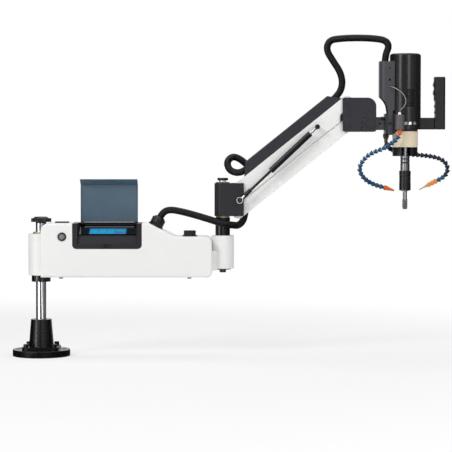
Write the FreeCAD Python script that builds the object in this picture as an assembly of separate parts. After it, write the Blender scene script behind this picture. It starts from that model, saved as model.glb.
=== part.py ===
import FreeCAD, Part
import math
import os

# Arm tapping machine. All sizes are in millimetres.
# The origin is the centre of the base disc's underside. +Z is up, +X runs along the first arm from
# the column to the post of the second arm, and -Y is the operator's side.

Vec = FreeCAD.Vector
ALONG_X = Vec(1, 0, 0)
ALONG_Y = Vec(0, 1, 0)
ALONG_Z = Vec(0, 0, 1)

# ---- fits ------------------------------------------------------------------------------------
RUN = 0.05            # radial clearance of a shaft that turns or slides in its bore
SEAT = 0.05           # clearance round a piece that is pressed, bonded or bolted in place
GAP = 0.3             # clearance between moving pieces that only pass each other

# ---- base, socket and column -----------------------------------------------------------------
BASE_R = 87.5
BASE_H = 20.0
BASE_EDGE = 1.5           # rounding of the disc's upper edge
ANCHOR_PCD = 136.0
ANCHOR_COUNT = 4
ANCHOR_HOLE_R = 5.5
ANCHOR_SEAT_R = 9.0
ANCHOR_SEAT_DEPTH = 10.0
SOCKET_SIDE = 112.0
SOCKET_CORNER = 20.0
SOCKET_FLANGE = 9.0
SOCKET_HEIGHT = 92.0
SOCKET_FOOT_R = 38.0
SOCKET_TOP_R = 31.5
SOCKET_BOLT_OFFSET = 43.0
SOCKET_BOLT_R = 5.0
SOCKET_HEAD_R = 7.5
SOCKET_HEAD_H = 10.0
COLUMN_R = 16.0
COLUMN_HEIGHT = 385.0
KNOB_R = 31.5
KNOB_LOBES = 7
KNOB_LOBE_R = 6.0
KNOB_HEIGHT = 11.0
KNOB_DOME = 4.5
KNOB_DOME_IN = 7.8        # from the knob's rim to the dome's foot
KNOB_DOME_TOP_IN = 13.2   # from the knob's rim to the dome's top
KNOB_HUB = 3.7
KNOB_STUD_R = 6.0
KNOB_STUD = 30.0

# ---- height collar and first arm -------------------------------------------------------------
COLLAR_BELOW_TOP = 178.0  # from the column's top down to the collar's foot
COLLAR_R = 29.0
COLLAR_H = 18.0
COLLAR_SPLIT = 2.0
CLAMP_SCREW_R = 3.0
CLAMP_HEAD_R = 4.5
CLAMP_SCREW_OUT = 0.5     # outward from the middle of the collar's wall
COLLAR_EDGE = 1.0
THRUST_H = 2.0
THRUST_R = 27.0
BOSS_R = 38.5
BOSS_H = 126.0
BUSH_WALL = 4.0
BUSH_LENGTH = 30.0
BUSH_FLANGE_R = 24.5
BUSH_FLANGE_H = 5.5
FIRST_REACH = 554.0
POST_BOSS_R = 34.5
POST_BOSS_H = 101.0
POST_BOSS_RISE = 20.0     # how far the post boss starts above the column boss
BOSS_EDGE = 2.0
BEAM_HEIGHT = 60.0
BEAM_DEPTH = 60.0
BEAM_WALL = 4.0
BEAM_RISE = 15.0          # how far the beam starts above the column boss's foot

# ---- casing of the first arm -----------------------------------------------------------------
CASE_LEFT = 4.0
CASE_END_GAP = 32.0       # from the post's axis back to the casing's right end
CASE_HALF_DEPTH = 65.0
CASE_WALL = 2.5
CASE_DROP = 4.0           # how far the casing hangs below the column boss
CASE_HIGH = 163.0         # height of the tall half
CASE_LOW = 123.0          # height of the low half
SLOPE_START_SHARE = 0.633  # places along the casing, as shares of its length
SLOPE_END_SHARE = 0.7857
CASE_EDGE = 6.0           # rounding of the front and rear edges
CASE_LEFT_TOP = 24.0
CASE_RIGHT_TOP = 20.0
CASE_RIGHT_FOOT = 16.0
CASE_SLOPE_ROUND = 14.0
COVER_THICK = 2.5
FOOT_SCREW_R = 6.0
FOOT_SCREW_H = 4.0
FOOT_SHANK_R = 2.5
FOOT_SCREW_LEFT_IN = 61.0     # from the casing's ends to the bottom cover's screws
FOOT_SCREW_RIGHT_IN = 69.0
FOOT_SCREW_Y = 50.0
COVER_BLOCK = 14.0
PORT_COVER_SHARE = 0.1168
PORT_COVER_LENGTH = 42.0
PORT_COVER_DEPTH = 30.0
PORT_COVER_H = 4.0
PORT_COVER_CORNER = 6.0
PORT_COVER_EDGE = 1.2
BUTTON_SHARE = 0.1255
BUTTON_DROP = 40.0        # how far the push button sits below the casing's top
BEZEL_R = 13.2
BEZEL_PROUD = 3.0
BEZEL_EDGE = 1.4
BEZEL_BARREL = 22.0       # length of the button's body behind the casing's face
BEZEL_BARREL_WALL = 1.5
PUSH_R = 9.6
PUSH_LENGTH = 14.0
PUSH_EDGE = 1.2
PUSH_PROUD = 1.6
PUSH_TRAVEL = 3.0
PUSH_ROOM = 5.6           # behind the stem when it is pressed in
DRIVE_LENGTH = 150.0
DRIVE_DEPTH = 80.0
DRIVE_H = 32.0
SUPPLY_DEPTH = 28.0
SUPPLY_H = 56.0
SUPPLY_EDGE = 2.0
ELECTRONICS_GAP = 20.0    # from the panel tray to the electronics
FIN_PITCH = 10.0
FIN_SLOT = 5.0
FIN_EDGE = 6.0

# ---- control panel and lid -------------------------------------------------------------------
TRAY_SHARE = 0.388        # where the tray's middle is along the casing
TRAY_WIDTH = 210.0
TRAY_FOOT = 77.0          # how far the tray reaches below the casing's top
TRAY_BAND = 14.0
TRAY_CHEEK = 15.0
TRAY_CORNER = 13.0
TRAY_DEPTH = 127.0
TRAY_BELOW_TOP = 0.5
TRAY_SKIN = 3.0
TRAY_FRAME = 10.0         # thickness of the tray's front frame
TRAY_LAP = 1.0            # how far the tray's walls run into each other
TRAY_WALL_SUNK = 2.0      # how far the leaning wall runs into the front band
SEAT_FRONT_OVER = 2.0     # how far the glass's seat runs past its front edge
SEAT_REAR_OVER = 4.0      # and past its rear edge
PANEL_TILT = 12.5
GLASS_WIDTH = 176.0
GLASS_LENGTH = 108.0
GLASS_THICK = 3.0
GLASS_FRONT_Y = -52.0
GLASS_FRONT_DROP = 32.9   # how far the glass's front edge sits below the casing's top
DISPLAY_WIDTH = 112.0
DISPLAY_LENGTH = 67.0
DISPLAY_INSET = 4.0
WINDOW_INSET = 3.0        # from the display's edges to the window in its seat
DISPLAY_NECK_INSET = 4.0  # from the display's edges to the part that passes the window
BOARD_SIDE_OVER = 5.0     # how far the board behind reaches past the display
BOARD_FRONT_OVER = 2.0
BOARD_REAR_OVER = 8.0
DISPLAY_SUNK = 0.2        # how far the display lies below the glass's face
BOARD_THICK = 12.0
NOTCH_OFF = -10.0         # from the tray's middle to the notch's left side
NOTCH_WIDTH = 21.0
NOTCH_DEPTH = 8.0
NOTCH_RISE = 3.0          # from the tray's lower edge to the notch's floor
NOTCH_OPEN = 0.1          # how far the notch runs past the band's top
HINGE_Y = 57.0
HINGE_DROP = 3.5
LID_WIDTH = 176.0
LID_LENGTH = 118.0
LID_THICK = 2.5
LID_LIP = 34.0
LID_LIP_BEND = 60.0
LID_SKIRT = 3.0
LID_SKIRT_RISE = 3.0      # from the knuckles to the skirts' lower ends
LID_SKIRT_END_IN = 2.0    # from the lip's bend to the skirts' upper ends
KNUCKLE_R = 3.5
KNUCKLE_LENGTH = 12.0
LID_PIN_R = 1.5
LID_PIN_LENGTH = 20.0

# ---- glands ----------------------------------------------------------------------------------
GLAND_SLOPE_SHARE = 0.23  # where the hose gland sits along the slope
GLAND_Y = -18.0
GLAND_FLANGE_R = 23.0
GLAND_FLANGE_H = 4.0
GLAND_HEX = 36.0
GLAND_HEX_H = 7.0
GLAND_TAIL_R = 13.0
GLAND_TAIL = 12.0
GLAND_NUT_R = 21.0
GLAND_NUT_H = 14.0
GLAND_DOME = 6.0
GLAND_FLUTES = 8
GLAND_FLUTE_R = 3.4
GLAND_FLUTE_OUT = 1.6     # from the nut's rim out to a flute's axis
GLAND_CROWN_IN = 2.2      # from the nut's rim to the crown's foot
GLAND_CROWN_TOP_SHARE = 0.66
BLANK_SHARE = 0.8687
BLANK_BASE_R = 24.5
BLANK_BASE_TOP_R = 18.0
BLANK_BASE_H = 6.0
BLANK_NUT_R = 18.3
BLANK_NUT_H = 11.4
BLANK_GROOVES = 16
BLANK_GROOVE_R = 1.8
BLANK_GROOVE_OUT = 1.0    # from the nut's rim out to a groove's axis
BLANK_GROOVE_SHARE = 0.8  # how much of the nut's height the grooves take

# ---- post and swivel bracket -----------------------------------------------------------------
POST_R = 22.5
POST_HEIGHT = 54.0        # from the post boss to the lower thrust washer
JOURNAL_R = 16.0
POST_STUD_R = 6.0
POST_WASHER_R = 24.5
POST_WASHER_H = 3.0
POST_NUT = 17.0
POST_NUT_H = 9.0
LOWER_WASHER_H = 5.0
LOWER_WASHER_R = 21.0
UPPER_WASHER_H = 3.0
UPPER_WASHER_R = 21.0
CAP_NECK_R = 11.0
CAP_NECK_H = 5.0
CAP_R = 16.5
CAP_H = 8.0
CAP_EDGE = 2.5
CAP_STUD = 24.0
BRACKET_H = 100.0
BRACKET_HALF_DEPTH = 32.5
BRACKET_BACK = 25.0       # from the post's axis to the bracket's back
BRACKET_FRONT = 64.0      # from the post's axis to the ends of the ears
BRACKET_CHAMFER = 15.0
BRACKET_SLOT = 26.0       # from the post's axis to the bottom of the slot
SLOT_HALF = 26.0          # half the width between the ears
SWIVEL_BUSH_WALL = 3.0
SWIVEL_BUSH_LENGTH = 30.0
BRACKET_ROUND = 6.0       # rounding of the bracket's upright edges at the back
EAR_ROUND = 2.0           # and at the ears' ends
CLIP_H = 14.0
CLIP_THICK = 2.0
CLIP_TAB = 24.0           # from the ears' ends to the clip's far edge
CLIP_WEB = 4.0
CLIP_SCREW_IN = 8.0       # from the clip's far edge to its screw
CLIP_HEAD_R = 4.5
CLIP_HEAD_H = 3.5
CLIP_HEAD_EDGE = 1.0

# ---- the parallelogram arm -------------------------------------------------------------------
LINK_OFFSET = 47.5        # from the post's axis to the lower pivots
LINK_LENGTH = 422.5
LINK_ANGLE = 38.755       # how far the links rise in the rest pose
LINK_PITCH = 70.0         # vertical distance between the upper and the lower link's pivots
UPPER_PIVOT_DROP = 18.0   # how far the upper pivot sits below the bracket's top
PIN_R = 6.0
PIN_HEAD_R = 9.0
PIN_HEAD_H = 2.5
UPPER_HALF_WIDTH = 25.0
UPPER_TOP = 18.0
UPPER_FOOT = 34.0
UPPER_RELIEF = 45.0       # length at the head end where the upper link is cut back
UPPER_RELIEF_RAKE = 16.0
UPPER_NOSE = 6.0          # from the lower pivot to the full depth of the channel
UPPER_END_IN = 8.0        # from the pivots to where the channel's web starts
LOWER_HALF_WIDTH = 21.0
LOWER_HALF_HEIGHT = 19.5
LOWER_END_IN = 12.0       # from the pivots to where the channel's web starts
LINK_WALL = 3.0
EYE_R = 11.0
DUCT_HALF_WIDTH = 20.0
DUCT_HEIGHT = 33.4
DUCT_WALL = 2.0
DUCT_EDGE = 3.0
DUCT_START = 38.0
DUCT_END_IN = 5.5         # from the upper link's head-end pivot
DUCT_START_RAKE = 31.5
DUCT_END_RAKE = 30.5

# ---- gas spring ------------------------------------------------------------------------------
SPRING_Y = -46.0
SPRING_ON_LINK = 304.0    # along the upper link, from its lower pivot
SPRING_BELOW_LINE = 2.3
SPRING_FOOT_OUT = 3.9     # the lower end's place from the upper link's lower pivot
SPRING_FOOT_DROP = 33.5
SPRING_STUD_R = 3.0
SPRING_PIN_CLEARANCE = 3.6   # the lower eye is the parallelogram's open pivot
SPRING_EYE_R = 9.5
SPRING_EYE_THICK = 9.0
SPRING_CAP_R = 8.5
SPRING_CAP_H = 2.0
SPRING_SPACER_WALL = 2.0
SPRING_HEAD_SPACER_WALL = 3.0
SPRING_HEAD_CAP_R = 7.0
SPRING_HEAD_CAP_H = 4.0
SPRING_HEAD_CAP_EDGE = 1.8
SPRING_HEAD_EYE_R = 7.5
CYLINDER_R = 9.0
CYLINDER_WALL = 1.5
CYLINDER_LENGTH = 165.0
CYLINDER_FITTING = 29.0
CYLINDER_GUIDE = 10.0     # thickness of the cylinder's rod end
CYLINDER_END = 4.0
CYLINDER_EDGE = 1.5
ROD_R = 4.0
ROD_INSIDE = 95.0
PISTON_LENGTH = 12.0
SLEEVE_R = 6.5
SLEEVE_START = 20.0
SLEEVE_LENGTH = 26.0

# ---- end bracket and tilt knuckle ------------------------------------------------------------
PLATE_THICK = 5.0
PLATE_BACK = 14.0         # from the head-end pivots to the plates' back edge
PLATE_LENGTH = 102.0
PLATE_ABOVE = 12.5        # from the upper pivot to the plates' top
PLATE_HEIGHT = 103.0
PLATE_CORNER = 6.0
PLATE_NOSE = 27.0
SPACER_BACK = 24.0        # from the head-end pivots to the spacer
SPACER_LENGTH = 16.0
SPACER_INSET = 7.0
PLATE_SCREW_R = 3.0
PLATE_SCREW_IN = 20.0     # from the plates' lower and upper edges
PLATE_SCREW_LENGTH = 23.0
STOP_DROP = 39.5
STOP_OUT = 3.0
STOP_R = 5.0
STOP_HEAD_R = 7.5
STOP_HEAD_H = 2.0
STOP_PAD_LENGTH = 7.0
STOP_PAD_HEIGHT = 27.0
STOP_PAD_TOP_SHARE = 0.2  # how much of the pad lies above the stop bar's axis
STOP_PAD_FOOT_RAKE = 4.0
STOP_PAD_TOP_RAKE = 6.0
TILT_OUT = 68.0           # from the head-end pivots to the tilt axis
TILT_DROP = 65.5          # from the upper pivot to the tilt axis
TILT_PIN_R = 8.0
TILT_HEAD_R = 12.3
TILT_HEAD_H = 2.5
KNUCKLE_BARREL_R = 22.0
KNUCKLE_ROOM = 2.0        # from the barrel to the spacer
SLIT_R = 24.0
SLIT_WIDTH = 2.5
SLIT_END_SHARE = 0.6      # where the slit's arc ends, as a share of its radius
LUG_LENGTH = 46.5         # from the tilt axis to the lug's face
LUG_HALF_DEPTH = 20.0
LUG_HEIGHT = 39.0
LUG_EDGE = 2.0
ROLL_SHAFT_R = 12.0
ROLL_SHAFT_LENGTH = 32.0
LOCK_OUT = 31.4
LOCK_R = 3.8
LOCK_SUNK = 3.0           # how far the lock screw sits below the lug's face
LOCK_KEY = 4.0            # its socket, across the flats
LOCK_KEY_DEPTH = 2.5
PLUNGER_R = 4.5
PLUNGER_LENGTH = 13.0
PLUNGER_RISE = 1.0        # how far the plunger stands above the lug
PLUNGER_EDGE = 2.0

# ---- tapping head ----------------------------------------------------------------------------
HEAD_OUT = 110.0          # from the tilt axis to the spindle axis
BLOCK_GAP = 0.8
BLOCK_LENGTH = 28.5
BLOCK_HALF_DEPTH = 32.0
BLOCK_BELOW = 31.0
BLOCK_ABOVE = 29.5
GEARBOX_R = 39.0
GEARBOX_NECK_R = 37.0
GEARBOX_DROP = 72.0       # from the tilt axis down to the gearbox's foot
GEARBOX_BODY = 48.0
GEARBOX_NECK = 54.0
GEARBOX_EDGE = 1.2
RING_H = 6.0
RING_R = 38.5
FLANGE_R = 44.75
FLANGE_H = 26.0
MOTOR_SIDE = 74.0
MOTOR_ROUND_R = 43.5
MOTOR_H = 112.0
ENCODER_R = 25.0
ENCODER_H = 30.0
ENCODER_EDGE = 3.0
COVER_R = 47.3
COVER_WALL = 2.5
COVER_H = 230.0
COVER_ROUND = 8.0
VENT_COUNT = 9
VENT_PITCH = 6.0
VENT_H = 3.2
VENT_WIDTH = 26.0
VENT_OUT = 11.0
VENT_FOOT = 69.0
SIDE_SCREW_R = 5.0
SIDE_SCREW_RISE = 18.0
SIDE_SCREW_PROUD = 2.6
SIDE_SCREW_KEY = 4.5      # the screws' sockets, across the flats
SIDE_SCREW_KEY_DEPTH = 2.0
SIDE_SCREW_ANGLES = (-2.0, 12.0, 30.0, 150.0, 180.0)
GUARD_R = 38.0
GUARD_BORE_R = 16.5
GUARD_H = 27.0
GUARD_SLOT = 27.0

# ---- cable channel on the head ---------------------------------------------------------------
CHANNEL_THICK = 2.0
CHANNEL_HALF_DEPTH = 34.0
CHANNEL_LEFT_OUT = 30.0   # from the tilt axis to the channel's left wall
CHANNEL_WIDTH = 45.0
CHANNEL_CORNER = 20.0
CHANNEL_TOP_RISE = 188.0  # above the tilt axis
CHANNEL_FOOT_DROP = 35.0
CHANNEL_SCOOP_R = 48.8
CHANNEL_SCOOP_RISE = 39.0
CHANNEL_SCOOP_OUT = 5.0
CHANNEL_STRIP_LEFT = 55.0
CHANNEL_STRIP_WIDTH = 14.5
CHANNEL_SCREW_R = 2.6
CHANNEL_SCREW_OUT = 60.3
CHANNEL_SCREW_HEAD = 4.0
CHANNEL_SCREW_HEAD_H = 1.6
CHANNEL_SCREW_IN = 8.0    # how far the screws reach past the sheet
CHANNEL_PLAY = 0.2        # between the sheet and the motor cover
CHANNEL_HOLES = ((166.0, 4.0), (129.0, 6.0))   # square holes: rise above the tilt axis and width
HOSE_CLAMP_WALL = 1.6
HOSE_CLAMP_H = 12.0
HOSE_CLAMP_RISE = 4.0     # from the hose's end up to the clamp
HOSE_CLAMP_TAB = 6.0      # half the width of the clamp's tab

# ---- handle ----------------------------------------------------------------------------------
HANDLE_HALF_DEPTH = 16.0
HANDLE_BAR_H = 35.5
HANDLE_BAR_LAP = 6.0      # how far the bar reaches into the gearbox neck's round
HANDLE_EDGE = 3.0
GRIP_LEFT_OUT = 87.0      # from the spindle axis to the grip
GRIP_WIDTH = 34.0
GRIP_HEIGHT = 159.5
GRIP_ROUND = 9.0
GROOVE_R = 16.0
GROOVE_DEPTH = 3.5
GROOVE_RISES = (43.0, 61.0, 80.0)
THUMB_RISES = (111.5, 136.5)
THUMB_R = 5.5
THUMB_BEZEL_R = 7.5
THUMB_BEZEL_PROUD = 1.5
THUMB_PROUD = 3.6
THUMB_DEPTH = 10.0
THUMB_TRAVEL = 2.0
THUMB_EDGE = 1.0

# ---- spindle, chuck and tap ------------------------------------------------------------------
SPINDLE_R = 9.5
SPINDLE_IN_GEARBOX = 40.0
CHUCK_R = 14.4
CHUCK_TOP_GAP = 2.0
CHUCK_BARREL = 69.0
CHUCK_CORE_R = 12.0
CHUCK_CORE = 62.0
CHUCK_GROOVE_DEPTH = 1.0
CHUCK_GROOVES = ((32.0, 3.0), (43.0, 4.0))   # how far below the chuck's top, and how wide
SLEEVE_OUTER_R = 17.8
SLEEVE_H = 60.0
SLEEVE_EDGE = 1.6
SLEEVE_RIB_RISE = 24.0    # from the sleeve's foot to its ribs
SLEEVE_RIB_COUNT = 8
SLEEVE_RIB_PITCH = 3.0
SLEEVE_RIB_DEPTH = 0.7
TAP_SHANK_R = 6.5
TAP_SHANK = 70.0
TAP_SHANK_IN = 43.0       # how much of the shank is in the chuck
TAP_R = 8.4
TAP_THREAD = 28.0
TAP_TIP_R = 6.3
TAP_TIP = 6.0
TAP_FLUTES = 4
TAP_FLUTE_R = 3.0
TAP_FLUTE_OUT = 0.6       # from the thread's rim out to a flute's axis
TAP_FLUTE_RUN = 4.0       # how far the flutes run past the thread

# ---- coolant ---------------------------------------------------------------------------------
VALVE_OUT = -22.0         # from the spindle axis
VALVE_Y = -59.0
VALVE_R = 14.0
VALVE_DROP = 2.0          # from the flange down to the valve's foot
VALVE_H = 46.0
VALVE_EDGE = 2.0
VALVE_PLUG_R = 7.5
VALVE_PLUG_H = 7.0
VALVE_PLUG_EDGE = 2.5
SADDLE_HALF = 8.0         # half the width of the saddle that holds the valve to the cover
SADDLE_FOOT = 13.0        # its lower and upper ends above the valve's foot
SADDLE_TOP = 35.0
SADDLE_IN = 14.2          # how far it reaches inside the cover's radius before it is cut to fit
FITTING_R = 7.6
FITTING_H = 10.0
FITTING_BALL_DROP = 13.0
REAR_VALVE_OUT = -57.0
REAR_VALVE_Y = 14.0
REAR_VALVE_R = 9.0
REAR_VALVE_H = 12.0
SEGMENT_WIDE_R = 7.6
SEGMENT_NECK_R = 5.3
SEGMENT_BALL_R = 5.6
SEGMENT_COLLAR = 3.0
SEGMENT_GAP = 0.9
SEGMENT_PITCH = 13.4
NOZZLE_COLLAR = 6.0
NOZZLE_CONE = 28.0
NOZZLE_STEP = 0.4         # how much the cone's foot is set in from the collar
NOZZLE_TIP_R = 2.2
BRASS_TIP_R = 1.4
BRASS_TIP = 25.0
BRASS_TIP_START = 24.0    # from the last segment to the tip's foot

# ---- hoses -------------------------------------------------------------------------------------
# Each route is a row of hand-chosen offsets (x, y, z) from the place that is named beside it.
HOSE_R = 10.8
LEAD_R = 1.5
LEAD_PLAY = 0.7           # room round the lead in its hole
ARC_SHARE = 0.45          # how much of the shorter run a bend's arc takes
GLAND_OUT = 23.5          # from the casing's slope to where the hose leaves its gland
GLAND_LEAD = 45.0
LOWER_HOSE_BEND = (41.83, -18.5, 50.7)   # from the gland's seat
LOWER_HOSE_RUN = (                       # from the post's axis at the bracket's foot
    (-122, -22, 13.5), (-66, -33, -1.5), (-20, -39.5, -16), (16, -40, -25), (44, -12, -28),
    (64, 22, -29), (70.5, 48, -2), (70.5, 48, 36),
)
RISER_HOSE_RUN = (                       # from the post's axis at the bracket's foot
    (70.5, 48, 36), (70.5, 48, 68), (82, 51, 106), (91, 49, 136), (61, 42, 169), (31, 33, 183),
    (12, 22, 165), (19, 10, 140), (42, 3, 130),
)
DUCT_HOSE_ABOVE = 31.0                   # above the upper link's pivot line
DUCT_HOSE_LEAD = 47.0
DUCT_HOSE_START = 80.0
DUCT_HOSE_END_IN = 42.5                  # from the upper link's head end
DUCT_HOSE_TAIL_IN = 9.9
UPPER_HOSE_RUN = (                       # from the tilt axis
    (-80, 0, 116), (-86, 0, 154), (-110, 0, 190), (-131, 0, 224), (-121, 0, 253), (-87, 0, 258),
    (-39, 0, 260), (11, 0, 258.5), (49, 0, 253), (61, 0, 235), (48, 0, 205), (48, 0, 173),
)
LEAD_RUN = (                             # from the spindle axis at the flange's foot
    (-49.7, -31, 130), (-49.2, -40, 129.6), (-29, -52, 122), (-9, -60, 105), (-2, -63, 82),
    (-11, -63, 65), (-21, -60, 58), (-22, -59, 51.3),
)
FRONT_HOSE_RUN = (                       # from the spindle axis at the flange's foot
    (-22, -59, -15), (-27.5, -60, -25), (-36, -60, -35), (-49, -60, -44), (-67, -60, -56),
    (-91, -59, -66), (-114, -58, -77), (-132, -56, -95), (-142, -53, -117), (-136, -48, -137),
    (-120, -41, -154), (-98, -32, -166), (-65, -22, -176),
)
REAR_HOSE_RUN = (                        # from the spindle axis at the flange's foot
    (-57, 14, -38), (-53, 20, -48), (-43, 34, -58), (-25, 48, -66), (0, 54, -73), (26, 51, -76),
    (51, 44, -78), (78, 36, -81), (102, 28, -86.5), (122, 22, -97), (132, 18, -115),
    (128, 15, -135), (114, 13, -148), (96, 11, -157),
)

# ---- places that follow from the sizes above ---------------------------------------------------
COLUMN_TOP = BASE_H + COLUMN_HEIGHT
COLLAR_Z = COLUMN_TOP - COLLAR_BELOW_TOP
BOSS_Z = COLLAR_Z + COLLAR_H + THRUST_H
CASE_RIGHT = FIRST_REACH - CASE_END_GAP
CASE_LENGTH = CASE_RIGHT - CASE_LEFT
SLOPE_START = CASE_LEFT + SLOPE_START_SHARE * CASE_LENGTH
SLOPE_END = CASE_LEFT + SLOPE_END_SHARE * CASE_LENGTH
PORT_COVER_X = CASE_LEFT + PORT_COVER_SHARE * CASE_LENGTH
BUTTON_X = CASE_LEFT + BUTTON_SHARE * CASE_LENGTH
BLANK_X = CASE_LEFT + BLANK_SHARE * CASE_LENGTH
TRAY_MIDDLE = CASE_LEFT + TRAY_SHARE * CASE_LENGTH
TRAY_LEFT = TRAY_MIDDLE - TRAY_WIDTH / 2
TRAY_RIGHT = TRAY_MIDDLE + TRAY_WIDTH / 2
FOOT_SCREW_XS = (CASE_LEFT + FOOT_SCREW_LEFT_IN, CASE_RIGHT - FOOT_SCREW_RIGHT_IN)
ELECTRONICS_X = TRAY_RIGHT + ELECTRONICS_GAP
CASE_Z = BOSS_Z - CASE_DROP
CASE_TOP = CASE_Z + CASE_HIGH
CASE_LOW_TOP = CASE_Z + CASE_LOW
BEAM_Z = BOSS_Z + BEAM_RISE
POST_BOSS_Z = BOSS_Z + POST_BOSS_RISE
POST_Z = POST_BOSS_Z + POST_BOSS_H
BRACKET_Z = POST_Z + POST_HEIGHT + LOWER_WASHER_H
BRACKET_TOP = BRACKET_Z + BRACKET_H
PIVOT_X = FIRST_REACH + LINK_OFFSET
UPPER_PIVOT_Z = BRACKET_TOP - UPPER_PIVOT_DROP
LOWER_PIVOT_Z = UPPER_PIVOT_Z - LINK_PITCH
RISE = math.radians(LINK_ANGLE)
END_X = PIVOT_X + LINK_LENGTH * math.cos(RISE)
END_UPPER_Z = UPPER_PIVOT_Z + LINK_LENGTH * math.sin(RISE)
END_LOWER_Z = END_UPPER_Z - LINK_PITCH
TILT_X = END_X + TILT_OUT
TILT_Z = END_UPPER_Z - TILT_DROP
HEAD_X = TILT_X + HEAD_OUT
BLOCK_X = TILT_X + LUG_LENGTH + BLOCK_GAP
GEARBOX_FOOT_Z = TILT_Z - GEARBOX_DROP
NECK_Z = GEARBOX_FOOT_Z + GEARBOX_BODY
FLANGE_Z = NECK_Z + RING_H
VALVE_FOOT_Z = FLANGE_Z - VALVE_DROP
MOTOR_Z = NECK_Z + GEARBOX_NECK
HINGE_Z = CASE_TOP - HINGE_DROP

parts = {}


# ---- helpers -----------------------------------------------------------------------------------
def add(name, *solids):
    """Keeps one named piece, or a group of like pieces, for writing."""
    parts[name] = solids[0] if len(solids) == 1 else Part.makeCompound(list(solids))


def box(x0, x1, y0, y1, z0, z1):
    """A block between two corners."""
    return Part.makeBox(x1 - x0, y1 - y0, z1 - z0, Vec(x0, y0, z0))


def rod(radius, base, length, direction=ALONG_Z):
    """A round bar from a base point."""
    return Part.makeCylinder(radius, length, base, direction)


def ring(outer, inner, base, length, direction=ALONG_Z):
    """A round tube from a base point."""
    return rod(outer, base, length, direction).cut(rod(inner, base, length, direction))


def union(*solids):
    """The given solids as one, without the seams between them."""
    return solids[0].multiFuse(list(solids[1:])).removeSplitter()


def in_plane(plane, a, b, level):
    """The point (a, b) of the plane XY, XZ or YZ at a level along the third axis."""
    if plane == "XY":
        return Vec(a, b, level)
    if plane == "XZ":
        return Vec(a, level, b)
    return Vec(level, a, b)


def corner(before, point, after, radius):
    """Start, middle and end of the arc that rounds one corner of an outline."""
    back = FreeCAD.Vector(before[0] - point[0], before[1] - point[1], 0).normalize()
    ahead = FreeCAD.Vector(after[0] - point[0], after[1] - point[1], 0).normalize()
    half = back.getAngle(ahead) / 2
    inward = (back + ahead).normalize()
    here = FreeCAD.Vector(point[0], point[1], 0)
    setback = radius / math.tan(half)
    centre = here + inward * (radius / math.sin(half))
    return here + back * setback, centre - inward * radius, here + ahead * setback


def slab(plane, points, low, high, radii=None):
    """A flat outline with rounded corners, made solid from level low to level high."""
    count = len(points)
    radii = radii or [0] * count
    arcs = []
    for i, point in enumerate(points):
        if radii[i]:
            arcs.append(corner(points[i - 1], point, points[(i + 1) % count], radii[i]))
        else:
            here = FreeCAD.Vector(point[0], point[1], 0)
            arcs.append((here, None, here))
    edges = []
    for i, (start, middle, end) in enumerate(arcs):
        if middle is not None:
            three = [in_plane(plane, p.x, p.y, low) for p in (start, middle, end)]
            edges.append(Part.Arc(*three).toShape())
        following = arcs[(i + 1) % count][0]
        if (following - end).Length > 1e-6:
            first = in_plane(plane, end.x, end.y, low)
            second = in_plane(plane, following.x, following.y, low)
            edges.append(Part.makeLine(first, second))
    face = Part.Face(Part.Wire(edges))
    return face.extrude(in_plane(plane, 0, 0, high) - in_plane(plane, 0, 0, low))


def rectangle(a0, a1, b0, b1):
    """The four corners of a rectangle, anticlockwise."""
    return [(a0, b0), (a1, b0), (a1, b1), (a0, b1)]


def hexagon(across, base, height, direction=ALONG_Z):
    """A six-sided prism of a given width across its flats."""
    radius = across / math.sqrt(3)
    corners = [
        Vec(radius * math.cos(math.radians(60 * i)), radius * math.sin(math.radians(60 * i)), 0)
        for i in range(7)
    ]
    prism = Part.Face(Part.makePolygon(corners)).extrude(Vec(0, 0, height))
    prism.Placement = FreeCAD.Placement(base, FreeCAD.Rotation(ALONG_Z, direction))
    return prism


def rounded(shape, radius, keep):
    """The shape with a radius on each edge that the test keep picks."""
    return shape.makeFillet(radius, [edge for edge in shape.Edges if keep(edge)])


def on_link(shape, pivot_z):
    """Turns a piece drawn level, with its pivot at the origin, into its place on the raised arm."""
    placed = shape.copy()
    placed.rotate(Vec(0, 0, 0), ALONG_Y, -LINK_ANGLE)
    placed.translate(Vec(PIVOT_X, 0, pivot_z))
    return placed


def link_point(along, above):
    """A point in the XZ plane from its distance along and above the upper link's pivot line."""
    x = PIVOT_X + along * math.cos(RISE) - above * math.sin(RISE)
    z = UPPER_PIVOT_Z + along * math.sin(RISE) + above * math.cos(RISE)
    return x, z


def run_from(x, z, offsets):
    """A route's points from their offsets and the place that the offsets start at."""
    return [(x + dx, y, z + dz) for dx, y, dz in offsets]


def lower_hose_route():
    """From the gland on the slope, over the low half and round the post, to the clip behind it."""
    seat, outward = slope_frame()
    start = [seat + outward * GLAND_OUT, seat + outward * GLAND_LEAD]
    bend = (seat.x + LOWER_HOSE_BEND[0], LOWER_HOSE_BEND[1], seat.z + LOWER_HOSE_BEND[2])
    return [tuple(point) for point in start] + [bend] + run_from(FIRST_REACH, BRACKET_Z, LOWER_HOSE_RUN)


def duct_point(along):
    """A point of the hose's line inside the cable cover."""
    x, z = link_point(along, DUCT_HOSE_ABOVE)
    return x, 0, z


def riser_hose_route():
    """From the clip up past the upper pivots, in a loop, into the cable cover."""
    ends = [duct_point(DUCT_HOSE_LEAD), duct_point(DUCT_HOSE_START)]
    return run_from(FIRST_REACH, BRACKET_Z, RISER_HOSE_RUN) + ends


def upper_hose_route():
    """Out of the cable cover, up in a wide loop, and down into the channel on the head."""
    starts = [duct_point(LINK_LENGTH - DUCT_HOSE_END_IN), duct_point(LINK_LENGTH - DUCT_HOSE_TAIL_IN)]
    return starts + run_from(TILT_X, TILT_Z, UPPER_HOSE_RUN)


def head_run(offsets):
    """A route on the head, from the spindle axis at the flange's foot."""
    return run_from(HEAD_X, FLANGE_Z, offsets)


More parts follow.
